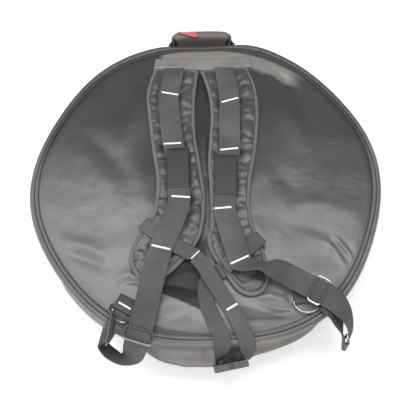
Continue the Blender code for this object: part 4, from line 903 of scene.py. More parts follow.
class LineTree:
    """Base of the Geometry Nodes trees that set or sweep a shape along lines."""

    NAME = ""
    INPUTS: tuple[tuple[str, str], ...] = ()

    def shape(self, tree: bpy.types.NodeTree, given: bpy.types.NodeOutputs,
              line: bpy.types.NodeSocket) -> bpy.types.NodeSocket:
        """Return the geometry that the tree makes along its curve.

        Args:
            tree: the tree to add to.
            given: the group's own inputs.
            line: the curve.

        Returns:
            The geometry's socket.
        """
        raise NotImplementedError

    def group(self) -> bpy.types.NodeTree:
        """Return the node group, made on its first use."""
        found = bpy.data.node_groups.get(self.NAME)
        if found:
            return found
        tree = bpy.data.node_groups.new(self.NAME, "GeometryNodeTree")
        for name, kind in (("Geometry", "Geometry"), *self.INPUTS, ("Material", "Material")):
            tree.interface.new_socket(name=name, in_out="INPUT", socket_type=f"NodeSocket{kind}")
        tree.interface.new_socket(name="Geometry", in_out="OUTPUT", socket_type="NodeSocketGeometry")
        given = add_node(tree, "NodeGroupInput").outputs
        line = add_node(tree, "GeometryNodeMeshToCurve", links={"Mesh": given["Geometry"]})
        dressed = add_node(tree, "GeometryNodeSetMaterial",
                           links={"Geometry": self.shape(tree, given, line.outputs["Curve"]),
                                  "Material": given["Material"]})
        add_node(tree, "NodeGroupOutput", links={"Geometry": dressed})
        return tree

    def run(self, name: str, lines: Sequence[Sequence[Vector]], closed: bool,
            **wanted: Any) -> bpy.types.Object:
        """Run the tree along lines and keep the plain mesh.

        Args:
            name: the piece's name.
            lines: the lines to follow, each a row of points.
            closed: whether each line joins its own start.
            wanted: the group's inputs by name.

        Returns:
            The new object.
        """
        verts, edges = [], []
        for line in lines:
            first = len(verts)
            verts += [tuple(point) for point in line]
            edges += [(i, i + 1) for i in range(first, len(verts) - 1)]
            if closed:
                edges.append((len(verts) - 1, first))
        mesh = bpy.data.meshes.new(name)
        mesh.from_pydata(verts, edges, [])
        piece = new_object(name, mesh)
        tree = self.group()
        modifier = piece.modifiers.new("along the line", "NODES")
        modifier.node_group = tree
        for item in tree.interface.items_tree:
            if item.in_out == "INPUT" and item.name in wanted:
                modifier[item.identifier] = wanted[item.name]
        return realised(piece)


class Row(LineTree):
    """Tree that sets small oval moulds, such as stitches or zip teeth, along lines."""

    NAME = "row of stitches or teeth"
    INPUTS = (("Pitch", "Float"), ("Length", "Float"), ("Thickness", "Float"), ("Across", "Vector"),
              ("Crosswise", "Bool"))

    def shape(self, tree: bpy.types.NodeTree, given: bpy.types.NodeOutputs,
              line: bpy.types.NodeSocket) -> bpy.types.NodeSocket:
        """Space ovals of slightly uneven length along the curve."""
        spaced = add_node(tree, "GeometryNodeResampleCurve",
                          links={"Curve": line, "Length": given["Pitch"]}, mode="LENGTH")
        tangent = add_node(tree, "GeometryNodeInputTangent")
        chosen = add_node(tree, "GeometryNodeSwitch", input_type="VECTOR",
                          links={"Switch": given["Crosswise"], "False": tangent,
                                 "True": given["Across"]})
        turn = add_node(tree, "FunctionNodeAlignRotationToVector", axis="X",
                        links={"Vector": chosen})
        vary = add_node(tree, "FunctionNodeRandomValue", {2: 0.9, 3: 1.08, "Seed": 7}, data_type="FLOAT")
        varied = add_node(tree, "ShaderNodeMath", operation="MULTIPLY",
                          links={0: given["Length"], 1: vary.outputs[1]})
        size = add_node(tree, "ShaderNodeCombineXYZ",
                        links={"X": varied, "Y": given["Thickness"], "Z": given["Thickness"]})
        mould = add_node(tree, "GeometryNodeMeshUVSphere", {"Segments": 6, "Rings": 5, "Radius": 0.5})
        placed = add_node(tree, "GeometryNodeInstanceOnPoints",
                          links={"Points": spaced, "Instance": mould, "Rotation": turn, "Scale": size})
        real = add_node(tree, "GeometryNodeRealizeInstances", links={"Geometry": placed})
        return add_node(tree, "GeometryNodeSetShadeSmooth",
                        links={"Geometry": real}).outputs["Geometry"]

    def build(self, name: str, lines: Sequence[Sequence[Vector]], sizes: tuple[float, float, float],
              finish: Finish, across: Optional[Vector] = None, closed: bool = False) -> bpy.types.Object:
        """Set moulds along the lines.

        Args:
            name: the piece's name.
            lines: the lines to follow, each a row of points.
            sizes: distance from one mould to the next, and each mould's length and thickness.
            finish: its material.
            across: the moulds' long direction, or None to lie along the line.
            closed: whether each line joins its own start.

        Returns:
            The new object.
        """
        pitch, length, thickness = sizes
        return self.run(name, lines, closed, Pitch=pitch, Length=length, Thickness=thickness,
                        Across=tuple(across) if across else (1.0, 0.0, 0.0),
                        Crosswise=across is not None, Material=finish.material())


class Trim(LineTree):
    """Tree that sweeps an oval section along a line, for binding, welts and cord."""

    NAME = "oval trim along a line"
    INPUTS = (("Width", "Float"), ("Height", "Float"), ("Sides", "Int"))

    def shape(self, tree: bpy.types.NodeTree, given: bpy.types.NodeOutputs,
              line: bpy.types.NodeSocket) -> bpy.types.NodeSocket:
        """Sweep the oval and store its UV in metres, around and along."""
        upright = add_node(tree, "GeometryNodeSetCurveNormal", links={"Curve": line}, mode="Z_UP")
        where = add_node(tree, "GeometryNodeSplineParameter").outputs["Length"]
        ring = add_node(tree, "GeometryNodeCurvePrimitiveCircle", {"Radius": 0.5},
                        {"Resolution": given["Sides"]})
        oval = add_node(tree, "ShaderNodeCombineXYZ", {"Z": 1.0},
                        {"X": given["Width"], "Y": given["Height"]})
        shaped = add_node(tree, "GeometryNodeTransform", links={"Geometry": ring, "Scale": oval})
        run, around = (add_node(tree, "GeometryNodeCaptureAttribute", links={"Geometry": curve})
                       for curve in (upright.outputs["Curve"], shaped.outputs["Geometry"]))
        for capture in (run, around):
            capture.capture_items.new("FLOAT", "Place")
            tree.links.new(where, capture.inputs["Place"])
        swept = add_node(tree, "GeometryNodeCurveToMesh", {"Fill Caps": True},
                         {"Curve": run, "Profile Curve": around})
        pair = add_node(tree, "ShaderNodeCombineXYZ",
                        links={"X": around.outputs["Place"], "Y": run.outputs["Place"]})
        stored = add_node(tree, "GeometryNodeStoreNamedAttribute", {"Name": "run"},
                          {"Geometry": swept, "Value": pair}, data_type="FLOAT2", domain="CORNER")
        smooth = add_node(tree, "GeometryNodeSetShadeSmooth", links={"Geometry": stored})
        return add_node(tree, "GeometryNodeRealizeInstances",
                        links={"Geometry": smooth}).outputs["Geometry"]

    def build(self, name: str, line: Sequence[Vector], width: float, height: float, finish: Finish,
              closed: bool = True, sides: int = 12) -> bpy.types.Object:
        """Sweep the section along one line.

        Args:
            name: the piece's name.
            line: the points to follow.
            width: the section's level width.
            height: its upright height.
            finish: its material.
            closed: whether the line joins its own start.
            sides: points round the section.

        Returns:
            The new object.
        """
        return self.run(name, [line], closed, Width=width, Height=height, Sides=sides,
                        Material=finish.material())


def sew(name: str, lines: Sequence[Sequence[Vector]], sizes: tuple[float, float, float], finish: Finish,
        body: Body, across: Optional[Vector] = None, closed: bool = False) -> None:
    """Set moulds along lines and let them ride on a body; the arguments are those of Row.build."""
    settle(Row().build(name, lines, sizes, finish, across, closed), body, finish)


# How the cloth lies

def bell(away: float, width: float, power: int = 2) -> float:
    """Return how high a bell curve of height one stands at a distance from its middle."""
    return math.exp(-(away / width) ** power)


def clamped(share: float) -> float:
    """Hold a share between 0 and 1."""
    return min(1.0, max(0.0, share))


def smooth_step(share: float) -> float:
    """Ease a share from 0 to 1, held at both ends."""
    held = clamped(share)
    return held * held * (3 - 2 * held)


def turned(angle: float, heading: float) -> float:
    """Return an angle as seen from a heading, at most half a turn either way."""
    return (angle - heading + math.pi) % math.tau - math.pi


def to_segment(x: float, y: float, ends: Sequence[float]) -> float:
    """Return the distance from a place to a segment, whose ends are x, y and x, y."""
    ax, ay, bx, by = ends
    dx, dy = bx - ax, by - ay
    share = clamped(((x - ax) * dx + (y - ay) * dy) / (dx * dx + dy * dy))
    return math.hypot(x - ax - dx * share, y - ay - dy * share)


@dataclass(frozen=True)
class Fold:
    """One ridge or valley in cloth: a line from start to end in millimetres, its width and height."""

    x0: float
    y0: float
    x1: float
    y1: float
    width: float
    height: float

    def rise(self, x: float, y: float) -> float:
        """Return how far the fold lifts the cloth at a place, both in metres."""
        ax, ay, bx, by = self.x0 * MM, self.y0 * MM, self.x1 * MM, self.y1 * MM
        dx, dy = bx - ax, by - ay
        length = math.hypot(dx, dy)
        along = ((x - ax) * dx + (y - ay) * dy) / (length * length)
        aside = ((x - ax) * dy - (y - ay) * dx) / length
        aside += math.sin(along * math.pi) * length * 0.06
        over = max(0.0, -along, along - 1.0) * length
        reach = self.width * MM
        ends = bell(over, reach) * (0.35 + 0.65 * math.sin(clamped(along) * math.pi))
        return self.height * MM * bell(aside, reach) * ends


PANEL_FOLDS = tuple(Fold(*row) for row in (
    (210, -128, 231, -168, 4, 3.4), (201, -128, 222, -172, 3.4, -3.8), (192, -132, 213, -172, 4, 2.6),
    (218, -132, 236, -166, 3.4, -3.0), (-96, -190, 6, -204, 16, -7.0), (-96, -234, 20, -240, 16, 5.0),
    (137, -231, 62, -206, 8, 3.0), (136, -238, 70, -228, 6, -3.0), (137, -243, 66, -254, 7, 3.0),
    (128, -247, 92, -262, 5, -1.8), (-139, -200, -98, -190, 7, -3.0), (-146, -186, -104, -176, 8, 2.2),
    (-256, -196, -238, -216, 6, 2.2), (-244, -188, -226, -204, 6, -2.0),
    (-243, -118, -170, -150, 12, 3.0), (-232, -142, -168, -168, 9, -2.4),
    (-233, 62, -150, -60, 22, 3.0), (-206, 84, -136, -20, 16, -2.6), (-99, 282, -90, 246, 4, 2.4),
    (-38, 276, -24, 240, 5, -2.6), (-52, 270, -40, 236, 6, 2.0), (148, 218, 166, 186, 6, -2.8),
    (166, 222, 186, 184, 8, 2.4), (150, -60, 236, -80, 16, 2.4), (138, -98, 214, -128, 14, -2.6),
    (126, 10, 150, -66, 18, -2.4), (-56, -232, 30, -214, 14, -2.6), (-60, -256, 20, -250, 9, 2.4),
    (-128, 180, -150, 60, 16, 1.8), (140, 160, 176, 40, 22, 2.2),
))
# Dimples in the side wall: heading in degrees, height in metres, span, depth and size in millimetres
WALL_FOLDS = (
    (-91.5, 0.060, 8, 7, -5.0), (-86.0, 0.064, 8, 8, 2.6), (-97.0, 0.050, 12, 8, 2.0),
    (-70.0, 0.055, 16, 7, -2.0), (-115.0, 0.060, 14, 8, -1.8), (-140.0, 0.052, 18, 8, 1.8),
    (-48.0, 0.058, 14, 9, 1.6), (20.0, 0.055, 20, 10, -1.8), (160.0, 0.055, 22, 10, 1.8),
    (-168.0, 0.060, 16, 9, -2.0), (-15.0, 0.062, 14, 8, 1.8),
)
# Where the side wall sags outward: heading and half width in degrees, size in millimetres
WALL_BELLIES = ((-96.0, 14.5, 21.5), (-70.0, 14.0, 11.0), (-128.0, 16.0, 5.0), (10.0, 40.0, 1.5),
                (170.0, 40.0, 1.5))
# The rim's slow waves: millimetres by the number of waves round the bag
RIM_COSINES = {2: -1.4, 3: -0.7, 5: -0.2, 6: 2.8}
RIM_SINES = {2: -0.5, 3: -1.5, 4: 1.0, 5: 0.3, 6: 1.5}
PAD_EDGES = [[(x * GUSSET_RADIUS, y * GUSSET_RADIUS) for x, y in outline]
             for outline in (PAD_LEFT, PAD_RIGHT)]
# Middle of the ring tabs' flat part in metres, and how far round it the panel is pressed down
TAB_PLACES = ((-0.127, -0.225), (0.146, -0.215))
TAB_REACH = 0.028
# The panel's folds rise and sink no further than this
HIGHEST_FOLD = 3.6 * MM
DEEPEST_FOLD = 3.7 * MM
# Middle height of the side wall's bellies
BELLY_HEIGHT = 0.0465


def rim_drift(angle: float) -> float:
    """Return how far the soft rim strays from a true circle at an angle, in metres."""
    drift = sum(size * math.cos(k * angle) for k, size in RIM_COSINES.items())
    drift += sum(size * math.sin(k * angle) for k, size in RIM_SINES.items())
    from_top = turned(angle, math.pi / 2)
    drift -= 6.0 * bell(turned(angle, math.radians(-92)), math.radians(22))
    drift *= 1 - bell(from_top, math.radians(30))
    drift -= 8.0 * bell(from_top, math.radians(11))
    drift += 3.0 * bell(angle - math.radians(69), math.radians(8))
    return drift * MM


def push_out(made: Vector, point: Vector, amount: float) -> None:
    """Move a point outward from the bag's axis, on the heading of the place where it began."""
    radius = math.hypot(point.x, point.y)
    if radius > 1e-6:
        made.x += point.x / radius * amount
        made.y += point.y / radius * amount


def soft_body(point: Vector) -> Vector:
    """Move a point of the bag's body to where the sagging, stuffed cloth lies."""
    share = min(1.0, math.hypot(point.x, point.y) / GUSSET_RADIUS)
    rise = clamped((point.z - 0.030) / 0.045)
    made = point.copy()
    push_out(made, point, rim_drift(math.atan2(point.y, point.x)) * share ** 3 * rise)
    return made


def panel_lie(point: Vector) -> Vector:
    """Move a point of the back panel: folds and low swells on top, none where the straps rest."""
    made = soft_body(point)
    radius = math.hypot(point.x, point.y)
    if point.z < BAG_DEPTH - PANEL_THICKNESS / 2:
        return made
    edge = clamped((PANEL_RADIUS - radius) / 0.020)
    loose = 0.25 + 0.75 * smooth_step((0.07 - point.y) / 0.14)
    swell = noise.noise(Vector((point.x * 9, point.y * 9, 3.1))) * 2.2
    swell += noise.noise(Vector((point.x * 20, point.y * 26, 8.4))) * 1.5 * loose
    swell += noise.noise(Vector((point.x * 52, point.y * 64, 1.7))) * 0.22 * loose
    rise = swell * MM + sum(fold.rise(point.x, point.y) for fold in PANEL_FOLDS)
    covered = under_straps(point.x, point.y)
    rise = rise * (1 - covered) - 0.6 * MM * covered
    highest = HIGHEST_FOLD - 3.0 * MM * under_chest(point.x, point.y)
    made.z += max(-DEEPEST_FOLD, min(rise, highest)) * edge
    foot = smooth_step((-point.y / max(radius, 1 * MM) - 0.70) / 0.25)
    made.z -= 2.2 * MM * foot * smooth_step((radius - PANEL_RADIUS + 0.026) / 0.026)
    return made


def in_outline(x: float, y: float, outline: Sequence[tuple[float, float]]) -> float:
    """Return how far a place lies inside an outline, below zero outside it."""
    inside, near = False, 1.0
    for i, (bx, by) in enumerate(outline):
        ax, ay = outline[i - 1]
        if (ay > y) != (by > y) and x < (bx - ax) * (y - ay) / (by - ay) + ax:
            inside = not inside
        near = min(near, to_segment(x, y, (ax, ay, bx, by)))
    return near if inside else -near


def sewn_down(piece: bpy.types.Object) -> bpy.types.Object:
    """Press a piece of the straps flat where the yoke's seam catches the pads' ends."""
    thick = ON_PAD - ON_PANEL
    for vertex in piece.data.vertices:
        height = vertex.co.z - ON_PANEL
        pressed = 1 - 0.34 * smooth_step((vertex.co.y - 0.205) / 0.022)
        vertex.co.z = ON_PANEL + min(height, thick) * pressed + max(0.0, height - thick)
    return piece


def under_straps(x: float, y: float) -> float:
    """Return 1 where a pad, the yoke or a ring's tab lies on the panel and 0 away from them."""
    if abs(x) > 0.19 or y > 0.27:
        return 0.0
    inner = max(in_outline(x, y, outline) for outline in PAD_EDGES)
    yoke = min(0.104 - abs(x), 0.265 - y, y - 0.222)
    tabs = max(TAB_REACH - math.hypot(x - tab_x, y - tab_y) for tab_x, tab_y in TAB_PLACES)
    return smooth_step((max(inner, yoke, tabs) + 0.008) / 0.008)


def under_chest(x: float, y: float) -> float:
    """Return 1 where the chest strap lies close above the panel and 0 away from it."""
    return bell(max(0.0, -0.030 - x, x - 0.066, y + 0.150), 0.010)


def wall_lie(point: Vector) -> Vector:
    """Move a point of the side wall: a full crown, sagging bellies, dimples and a slow waviness."""
    made = soft_body(point)
    radius = math.hypot(point.x, point.y)
    angle = math.atan2(point.y, point.x)
    crown = smooth_step((point.z - 0.069) / 0.006)
    if radius > 0.2939:
        seam = smooth_step((radius - 0.2940) / 0.004)
        beside = 1 - bell(angle - math.pi / 2, math.radians(13), 4)
        far = max(0.0, math.sin(angle))
        push_out(made, point, (1.6 + 3.6 * far ** 1.5) * MM * crown * seam * beside)
        made.z += 1.8 * far * MM * crown * seam * beside
    belly = bell(point.z - BELLY_HEIGHT, 0.0115) * smooth_step((point.z - 0.0375) / 0.006)
    for heading, span, size in WALL_BELLIES:
        away = turned(angle, math.radians(heading))
        push_out(made, point, size * MM * belly * bell(away, math.radians(span), 4))
    top = max(0.0, 1 - abs(point.z - 0.052) / 0.024)
    quiet = 1 - bell(turned(angle, math.pi / 2), 0.5)
    move = noise.noise(Vector((point.x * 16, point.y * 16, point.z * 30))) * 1.6 * MM
    for heading, height, span, depth, size in WALL_FOLDS:
        away = turned(angle, math.radians(heading))
        across = away * GUSSET_RADIUS / (span * MM)
        above = (point.z - height - away * 0.06) / (depth * MM)
        move += size * MM * math.exp(-across * across - above * above)
    push_out(made, point, move * top * quiet)
    return made


class Line(NamedTuple):
    """A straight run on the cloth seen from above, both ends in metres."""

    start: Vector
    end: Vector


def laid(pieces: Sequence[bpy.types.Object], line: Line, lift: float, steps: int = 10) -> list[Vector]:
    """Drop a straight line from above onto the highest of the pieces.

    Args:
        pieces: the pieces it can land on.
        line: the line as seen from above.
        lift: how far it stays above the surface.
        steps: how many pieces the line is cut into.

    Returns:
        The points on the surface.
    """
    trees = []
    for piece in pieces:
        bm = bmesh.new()
        bm.from_mesh(piece.data)
        trees.append(BVHTree.FromBMesh(bm))
        bm.free()
    made = []
    for step in range(steps + 1):
        place = line.start.lerp(line.end, step / steps)
        hits = [tree.ray_cast(Vector((place.x, place.y, 0.3)), Vector((0, 0, -1)))[0] for tree in trees]
        tops = [hit.z for hit in hits if hit is not None]
        made.append(Vector((place.x, place.y, max(tops) + lift if tops else ON_PAD)))
    return made


def sewn_plate(name: str, corners: Sequence[Vector], thickness: float, finish: Finish,
               cuts: tuple[int, int], puff: float = 0.0) -> bpy.types.Object:
    """Make a thin four-cornered piece with drawn-in edges and a light puff.

    Args:
        name: the piece's name.
        corners: the underside's corners in turn.
        thickness: its thickness.
        finish: its material.
        cuts: how many faces it has along each way.
        puff: how far the middle stands above the edges.

    Returns:
        The new object.
    """
    across, along = cuts
    verts: list[Vector] = []
    for layer in (0, 1):
        for j in range(along + 1):
            v = j / along
            for i in range(across + 1):
                u = i / across
                place = corners[0].lerp(corners[1], u).lerp(corners[3].lerp(corners[2], u), v)
                inner = min(1.0, min(u, 1 - u) * across / 2, min(v, 1 - v) * along / 2)
                top = thickness * (0.45 + 0.55 * inner)
                top += puff * (math.sin(u * math.pi) * math.sin(v * math.pi)) ** 0.6
                if 0 < u < 1 and 0 < v < 1:
                    top += 0.25 * puff * noise.noise(place * 70)
                verts.append(place + Vector((0, 0, top if layer else 0.0)))
    return mesh_piece(name, verts, sheet_faces(across, along), finish)


def chord_cloth(name: str, low: float, high: float, base: float, top: float, finish: Finish,
                sag: float) -> bpy.types.Object:
    """Make a slice of the round front cloth between two level lines, with a soft lower face.

    Args:
        name: the piece's name.
        low: the lower line's y, or the circle's own edge if that is nearer.
        high: the upper line's y, likewise.
        base: height of the outer face.
        top: height of the inner face.
        finish: its material.
        sag: how far the outer face draws in and out.

    Returns:
        The new object.
    """
    rows, columns = 90, 110
    start, stop = max(low, -PANEL_RADIUS * 0.9999), min(high, PANEL_RADIUS * 0.9999)
    verts: list[Vector] = []
    for layer in (0, 1):
        for j in range(rows + 1):
            y = start + (stop - start) * (1 - math.cos(math.pi * j / rows)) / 2
            half = math.sqrt(max(PANEL_RADIUS ** 2 - y * y, 1e-8))
            for i in range(columns + 1):
                x = -half * math.cos(math.pi * i / columns)
                edge = clamped(min((PANEL_RADIUS - math.hypot(x, y)) / 0.012, (y - start) / 0.008,
                                   (stop - y) / 0.008))
                swell = 0.5 + 0.5 * noise.noise(Vector((x * 13, y * 13, 6.0)))
                outer = base + sag * swell * edge + 1.2 * MM * (1 - edge) ** 2
                verts.append(Vector((x, y, top if layer else outer)))
    return mesh_piece(name, verts, sheet_faces(columns, rows), finish)


def arc_line(radius: float, height: float, start: float, sweep: float, count: int) -> list[Vector]:
    """Return a level arc round the bag's axis."""
    return [round_axis(radius, start + sweep * i / count, height) for i in range(count + 1)]


def raised(points: Sequence[Vector], height: float) -> list[Vector]:
    """Return the points moved up."""
    return [point + UP * height for point in points]


# Sub-assemblies

# Pitch, length and thickness of the teeth and the sewing
ZIP_TOOTH = (1.9 * MM, 1.9 * MM, 1.35 * MM)
POCKET_TOOTH = (1.9 * MM, 1.45 * MM, 1.3 * MM)
ZIP_STITCH = (3.4 * MM, 2.5 * MM, 0.6 * MM)
YOKE_STITCH = (3.2 * MM, 2.3 * MM, 0.6 * MM)
PAD_STITCH = (3.6 * MM, 2.6 * MM, 0.7 * MM)
PATCH_STITCH = (2.9 * MM, 2.1 * MM, 0.6 * MM)
GRIP_STITCH = (5.6 * MM, 3.4 * MM, 1.5 * MM)
BAR_TACK = (0.75 * MM, 4.4 * MM, 1.1 * MM)
ANCHOR_TACK = (0.9 * MM, 3.0 * MM, 0.9 * MM)


@dataclass
class MainZip:
    """Coil zip between the body and the front cover, and the cloth hinge that closes its gap."""

    coil_depth: float = 2.4 * MM
    tape_thickness: float = 0.8 * MM

    def half(self, side: str, upward: int, body: Body) -> None:
        """Build one tape with its teeth and one hinge strip.

        Args:
            side: "back" or "front", as in the CAD nodes' names.
            upward: 1 for the half above the seam, -1 below it.
            body: the body that the half is sewn to.
        """
        edge = ZIP_HEIGHT + upward * SEAM_GAP
        coil = edge + upward * COIL_HEIGHT
        tape = coil + upward * TAPE_WIDTH
        outer = GUSSET_RADIUS - 0.4 * MM
        front = GUSSET_RADIUS - self.tape_thickness
        back = front - self.tape_thickness
        inner = GUSSET_RADIUS - self.coil_depth
        start, sweep = -math.pi / 2 + HINGE_ARC / 2, math.tau - HINGE_ARC
        core = (coil + edge) / 2
        profile = [(inner, core), (outer - 0.9 * MM, core), (front, coil), (front, (coil + tape) / 2),
                   (front, tape), (back, tape), (back, coil), (inner, coil)]
        tape_piece = spun_cloth(f"zip_tape_{side}_cloth", profile, 260, COIL, start=start, sweep=sweep)
        settle(tape_piece, body, COIL, f"zip_tape_{side}")
        shift = ZIP_TOOTH[0] / 4 / GUSSET_RADIUS * upward
        line = arc_line(outer - 0.5 * MM, core, start + abs(shift) * 2 + shift,
                        sweep - abs(shift) * 4, 720)
        sew(f"zip_teeth_{side}", [line], ZIP_TOOTH, COIL, body, UP)
        trim = SEAM_GAP / GUSSET_RADIUS
        profile = [(front - 2 * MM, edge), (front - 0.5 * MM, edge), (front, (edge + tape) / 2),
                   (front - 0.3 * MM, tape), (front - 2 * MM, tape)]
        strip = spun_cloth(f"hinge_{side}_cloth", profile, 90, TAPE,
                           start=-math.pi / 2 - HINGE_ARC / 2 + trim, sweep=HINGE_ARC - 2 * trim)
        settle(strip, body, TAPE, f"hinge_{side}")


@dataclass
class BagShell:
    """Padded back panel, piping, side wall and the yoke that covers the straps' top seam."""

    ring_pitch: float = 2.6 * MM
    sectors: int = 480
    edge_round: float = 12 * MM
    edge_drop: float = 1.5 * MM
    yoke_length: float = 0.200
    yoke_depth: float = 0.030
    yoke_near: float = 0.2311
    yoke_thickness: float = 1.8 * MM

    def build(self) -> None:
        """Build the body's cloth."""
        self.panel()
        self.piping("back_piping", BAG_DEPTH - 2.5 * MM, Body.BACK, soft_body)
        self.wall()
        self.yoke()

    def panel(self) -> None:
        """Build the back panel with its folds and its edge rolled down to the piping."""
        rings = int(PANEL_RADIUS / self.ring_pitch)
        profile = [(0.0, BAG_DEPTH)]
        for i in range(1, rings + 1):
            radius = PANEL_RADIUS * i / rings
            over = max(0.0, radius - (PANEL_RADIUS - self.edge_round)) / self.edge_round
            profile.append((radius, BAG_DEPTH - self.edge_drop * over ** 2))
        base = BAG_DEPTH - PANEL_THICKNESS
        profile += [(PANEL_RADIUS, BAG_DEPTH - PANEL_THICKNESS * 0.7), (PANEL_RADIUS - 1 * MM, base),
                    (PANEL_RADIUS / 2, base), (0.0, base)]
        panel = spun_cloth("back_panel_cloth", profile, self.sectors, BACK_NYLON, panel_lie)
        settle(panel, Body.BACK, BACK_NYLON, "back_panel")

    @staticmethod
    def piping(node: str, height: float, body: Body, lie: Callable[[Vector], Vector]) -> None:
        """Build the bound cord that is sewn into an edge seam.

        Args:
            node: the CAD node that it stands for.
            height: its height.
            body: the body that it is sewn to.
            lie: where its points lie.
        """
        section = [(PIPING_CENTRE + PIPING_RADIUS * math.cos(math.tau * i / 12),
                    height + PIPING_RADIUS * math.sin(math.tau * i / 12)) for i in range(12)]
        settle(spun_cloth(f"{node}_cord", section, 480, PIPING_TAPE, lie), body, PIPING_TAPE, node)

    @staticmethod
    def wall() -> None:
        """Build the side wall with its rounded shoulder."""
        low = ZIP_HEIGHT + 2 * SEAM_GAP + COIL_HEIGHT + TAPE_WIDTH
        outer = [(0.300, low + 0.4 * MM), (0.3000, 0.036), (0.3002, 0.046), (0.3004, 0.055),
                 (0.3008, 0.064), (0.3018, 0.0710), (0.3014, 0.0772), (0.2994, 0.0818), (0.2966, 0.0834),
                 (0.2943, 0.0829)]
        curve = smooth_points([Vector((r, z, 0)) for r, z in outer], 4)
        profile = [(0.2988, low), *((p.x, p.y) for p in curve), (0.2941, 0.0805), (0.2934, 0.0770),
                   (0.2938, 0.0722), (0.2952, 0.0640), (0.2957, 0.055), (0.2957, low)]
        wall = spun_cloth("gusset_cloth", profile, 540, SIDE_NYLON, wall_lie)
        settle(wall, Body.BACK, SIDE_NYLON, "gusset")
        line = arc_line(0.3003, low + 2.2 * MM, 0.0, math.tau, 480)[:-1]
        sew("zip_seam_stitches", [line], ZIP_STITCH, DARK_THREAD, Body.BACK, closed=True)

    def yoke(self) -> None:
        """Build the cloth band over the straps' seam, with its stitch line."""
        half, far = self.yoke_length / 2, self.yoke_near + self.yoke_depth
        lain = ON_PANEL - 0.8 * MM
        near = half - 5 * MM
        corners = [Vector((-near, self.yoke_near, ON_PANEL)), Vector((near, self.yoke_near, ON_PANEL)),
                   Vector((half * 0.91, far, lain)), Vector((-half * 0.91, far, lain))]
        yoke = sewn_plate("strap_yoke_cloth", corners, self.yoke_thickness, YOKE_NYLON, (150, 20),
                          0.9 * MM)
        folds = (Fold(-35, 228, -21, 264, 2.6, -1.3), Fold(-30, 228, -15, 264, 4.0, 0.8))
        for vertex in yoke.data.vertices:
            low = 1 - (vertex.co.y - self.yoke_near) / self.yoke_depth
            dip = bell(vertex.co.x - 0.006, 0.040)
            if vertex.co.z > ON_PANEL + 0.3 * MM:
                vertex.co.z += sum(fold.rise(vertex.co.x, vertex.co.y) for fold in folds)
            vertex.co.y += (4.5 - 5.5 * dip) * MM * low
        settle(yoke, Body.BACK, YOKE_NYLON, "strap_yoke")
        inset = 3 * MM
        level = self.yoke_near + inset
        line = Line(Vector((inset - near, level, 0)), Vector((near - inset, level, 0)))
        sew("yoke_stitches", [laid([yoke], line, 0.1 * MM, 60)], YOKE_STITCH, DARK_THREAD, Body.BACK)


class FrontCover:
    """Front of the bag that opens: inner wall, pocket, its zip and the narrow side strip."""

    def build(self) -> None:
        """Build the cover's cloth."""
        half = POCKET_SLOT / 2
        inner = FRONT_OUTER + SEAM_GAP
        rows = (("front_panel", -GUSSET_RADIUS, GUSSET_RADIUS, inner, inner + FRONT_INNER, 0.0),
                ("pocket_panel", -GUSSET_RADIUS, POCKET_LINE - half, 0.0, FRONT_OUTER, 1.5 * MM),
                ("front_facing", POCKET_LINE + half, GUSSET_RADIUS, 0.0, FRONT_OUTER, 1.0 * MM))
        for node, low, high, base, top, sag in rows:
            cloth = chord_cloth(f"{node}_cloth", low, high, base, top, SIDE_NYLON, sag)
            settle(cloth, Body.COVER, SIDE_NYLON, node)
        BagShell.piping("front_piping", FRONT_PIPING_HEIGHT, Body.COVER, still)
        self.strip()
        for side, sign in (("lower", -1), ("upper", 1)):
            self.pocket_tape(side, sign)

    @staticmethod
    def strip() -> None:
        """Build the strip of side wall between the zip and the front piping."""
        top = ZIP_HEIGHT - 2 * SEAM_GAP - COIL_HEIGHT - TAPE_WIDTH
        profile = [(0.2996, top), (0.3000, top - 0.6 * MM), (0.3000, top - 2 * MM), (0.2996, 0.0085),
                   (0.2985, 0.0063), (0.2970, 0.0046), (0.2950, 0.0037), (0.2932, 0.0075),
                   (0.2960, top - 2 * MM), (0.2960, top)]
        strip = spun_cloth("cover_strip_cloth", profile, 360, SIDE_NYLON)
        settle(strip, Body.COVER, SIDE_NYLON, "cover_strip")

    def pocket_tape(self, side: str, sign: int) -> None:
        """Build one side of the pocket's zip.

        Args:
            side: "lower" or "upper".
            sign: -1 or 1, the way it lies from the zip's line.
        """
        edge = POCKET_LINE + sign * SEAM_GAP
        coil = edge + sign * COIL_HEIGHT
        far = POCKET_LINE + sign * (POCKET_SLOT / 2 - SEAM_GAP)
        reach = math.sqrt(PANEL_RADIUS ** 2 - (POCKET_LINE + POCKET_SLOT / 2) ** 2) - 20 * MM
        across = Vector((0, 1, 0))
        steps = 60
        places = [-reach + 2 * reach * i / steps for i in range(steps + 1)]
        stations = [Station(Vector((x, (edge + far) / 2, POCKET_TAPE_HEIGHT)), across) for x in places]
        tape = Ribbon(f"pocket_zip_{side}_tape", stations, abs(far - edge), 0.8 * MM, COIL).build()
        settle(tape, Body.COVER, COIL, f"pocket_zip_{side}")
        offset = POCKET_TOOTH[0] / 2 if sign > 0 else 0
        row = [Vector((x + offset, (edge + coil) / 2, POCKET_TAPE_HEIGHT)) for x in places[:-1]]
        sew(f"pocket_zip_{side}_teeth", [row], POCKET_TOOTH, COIL, Body.COVER, across)


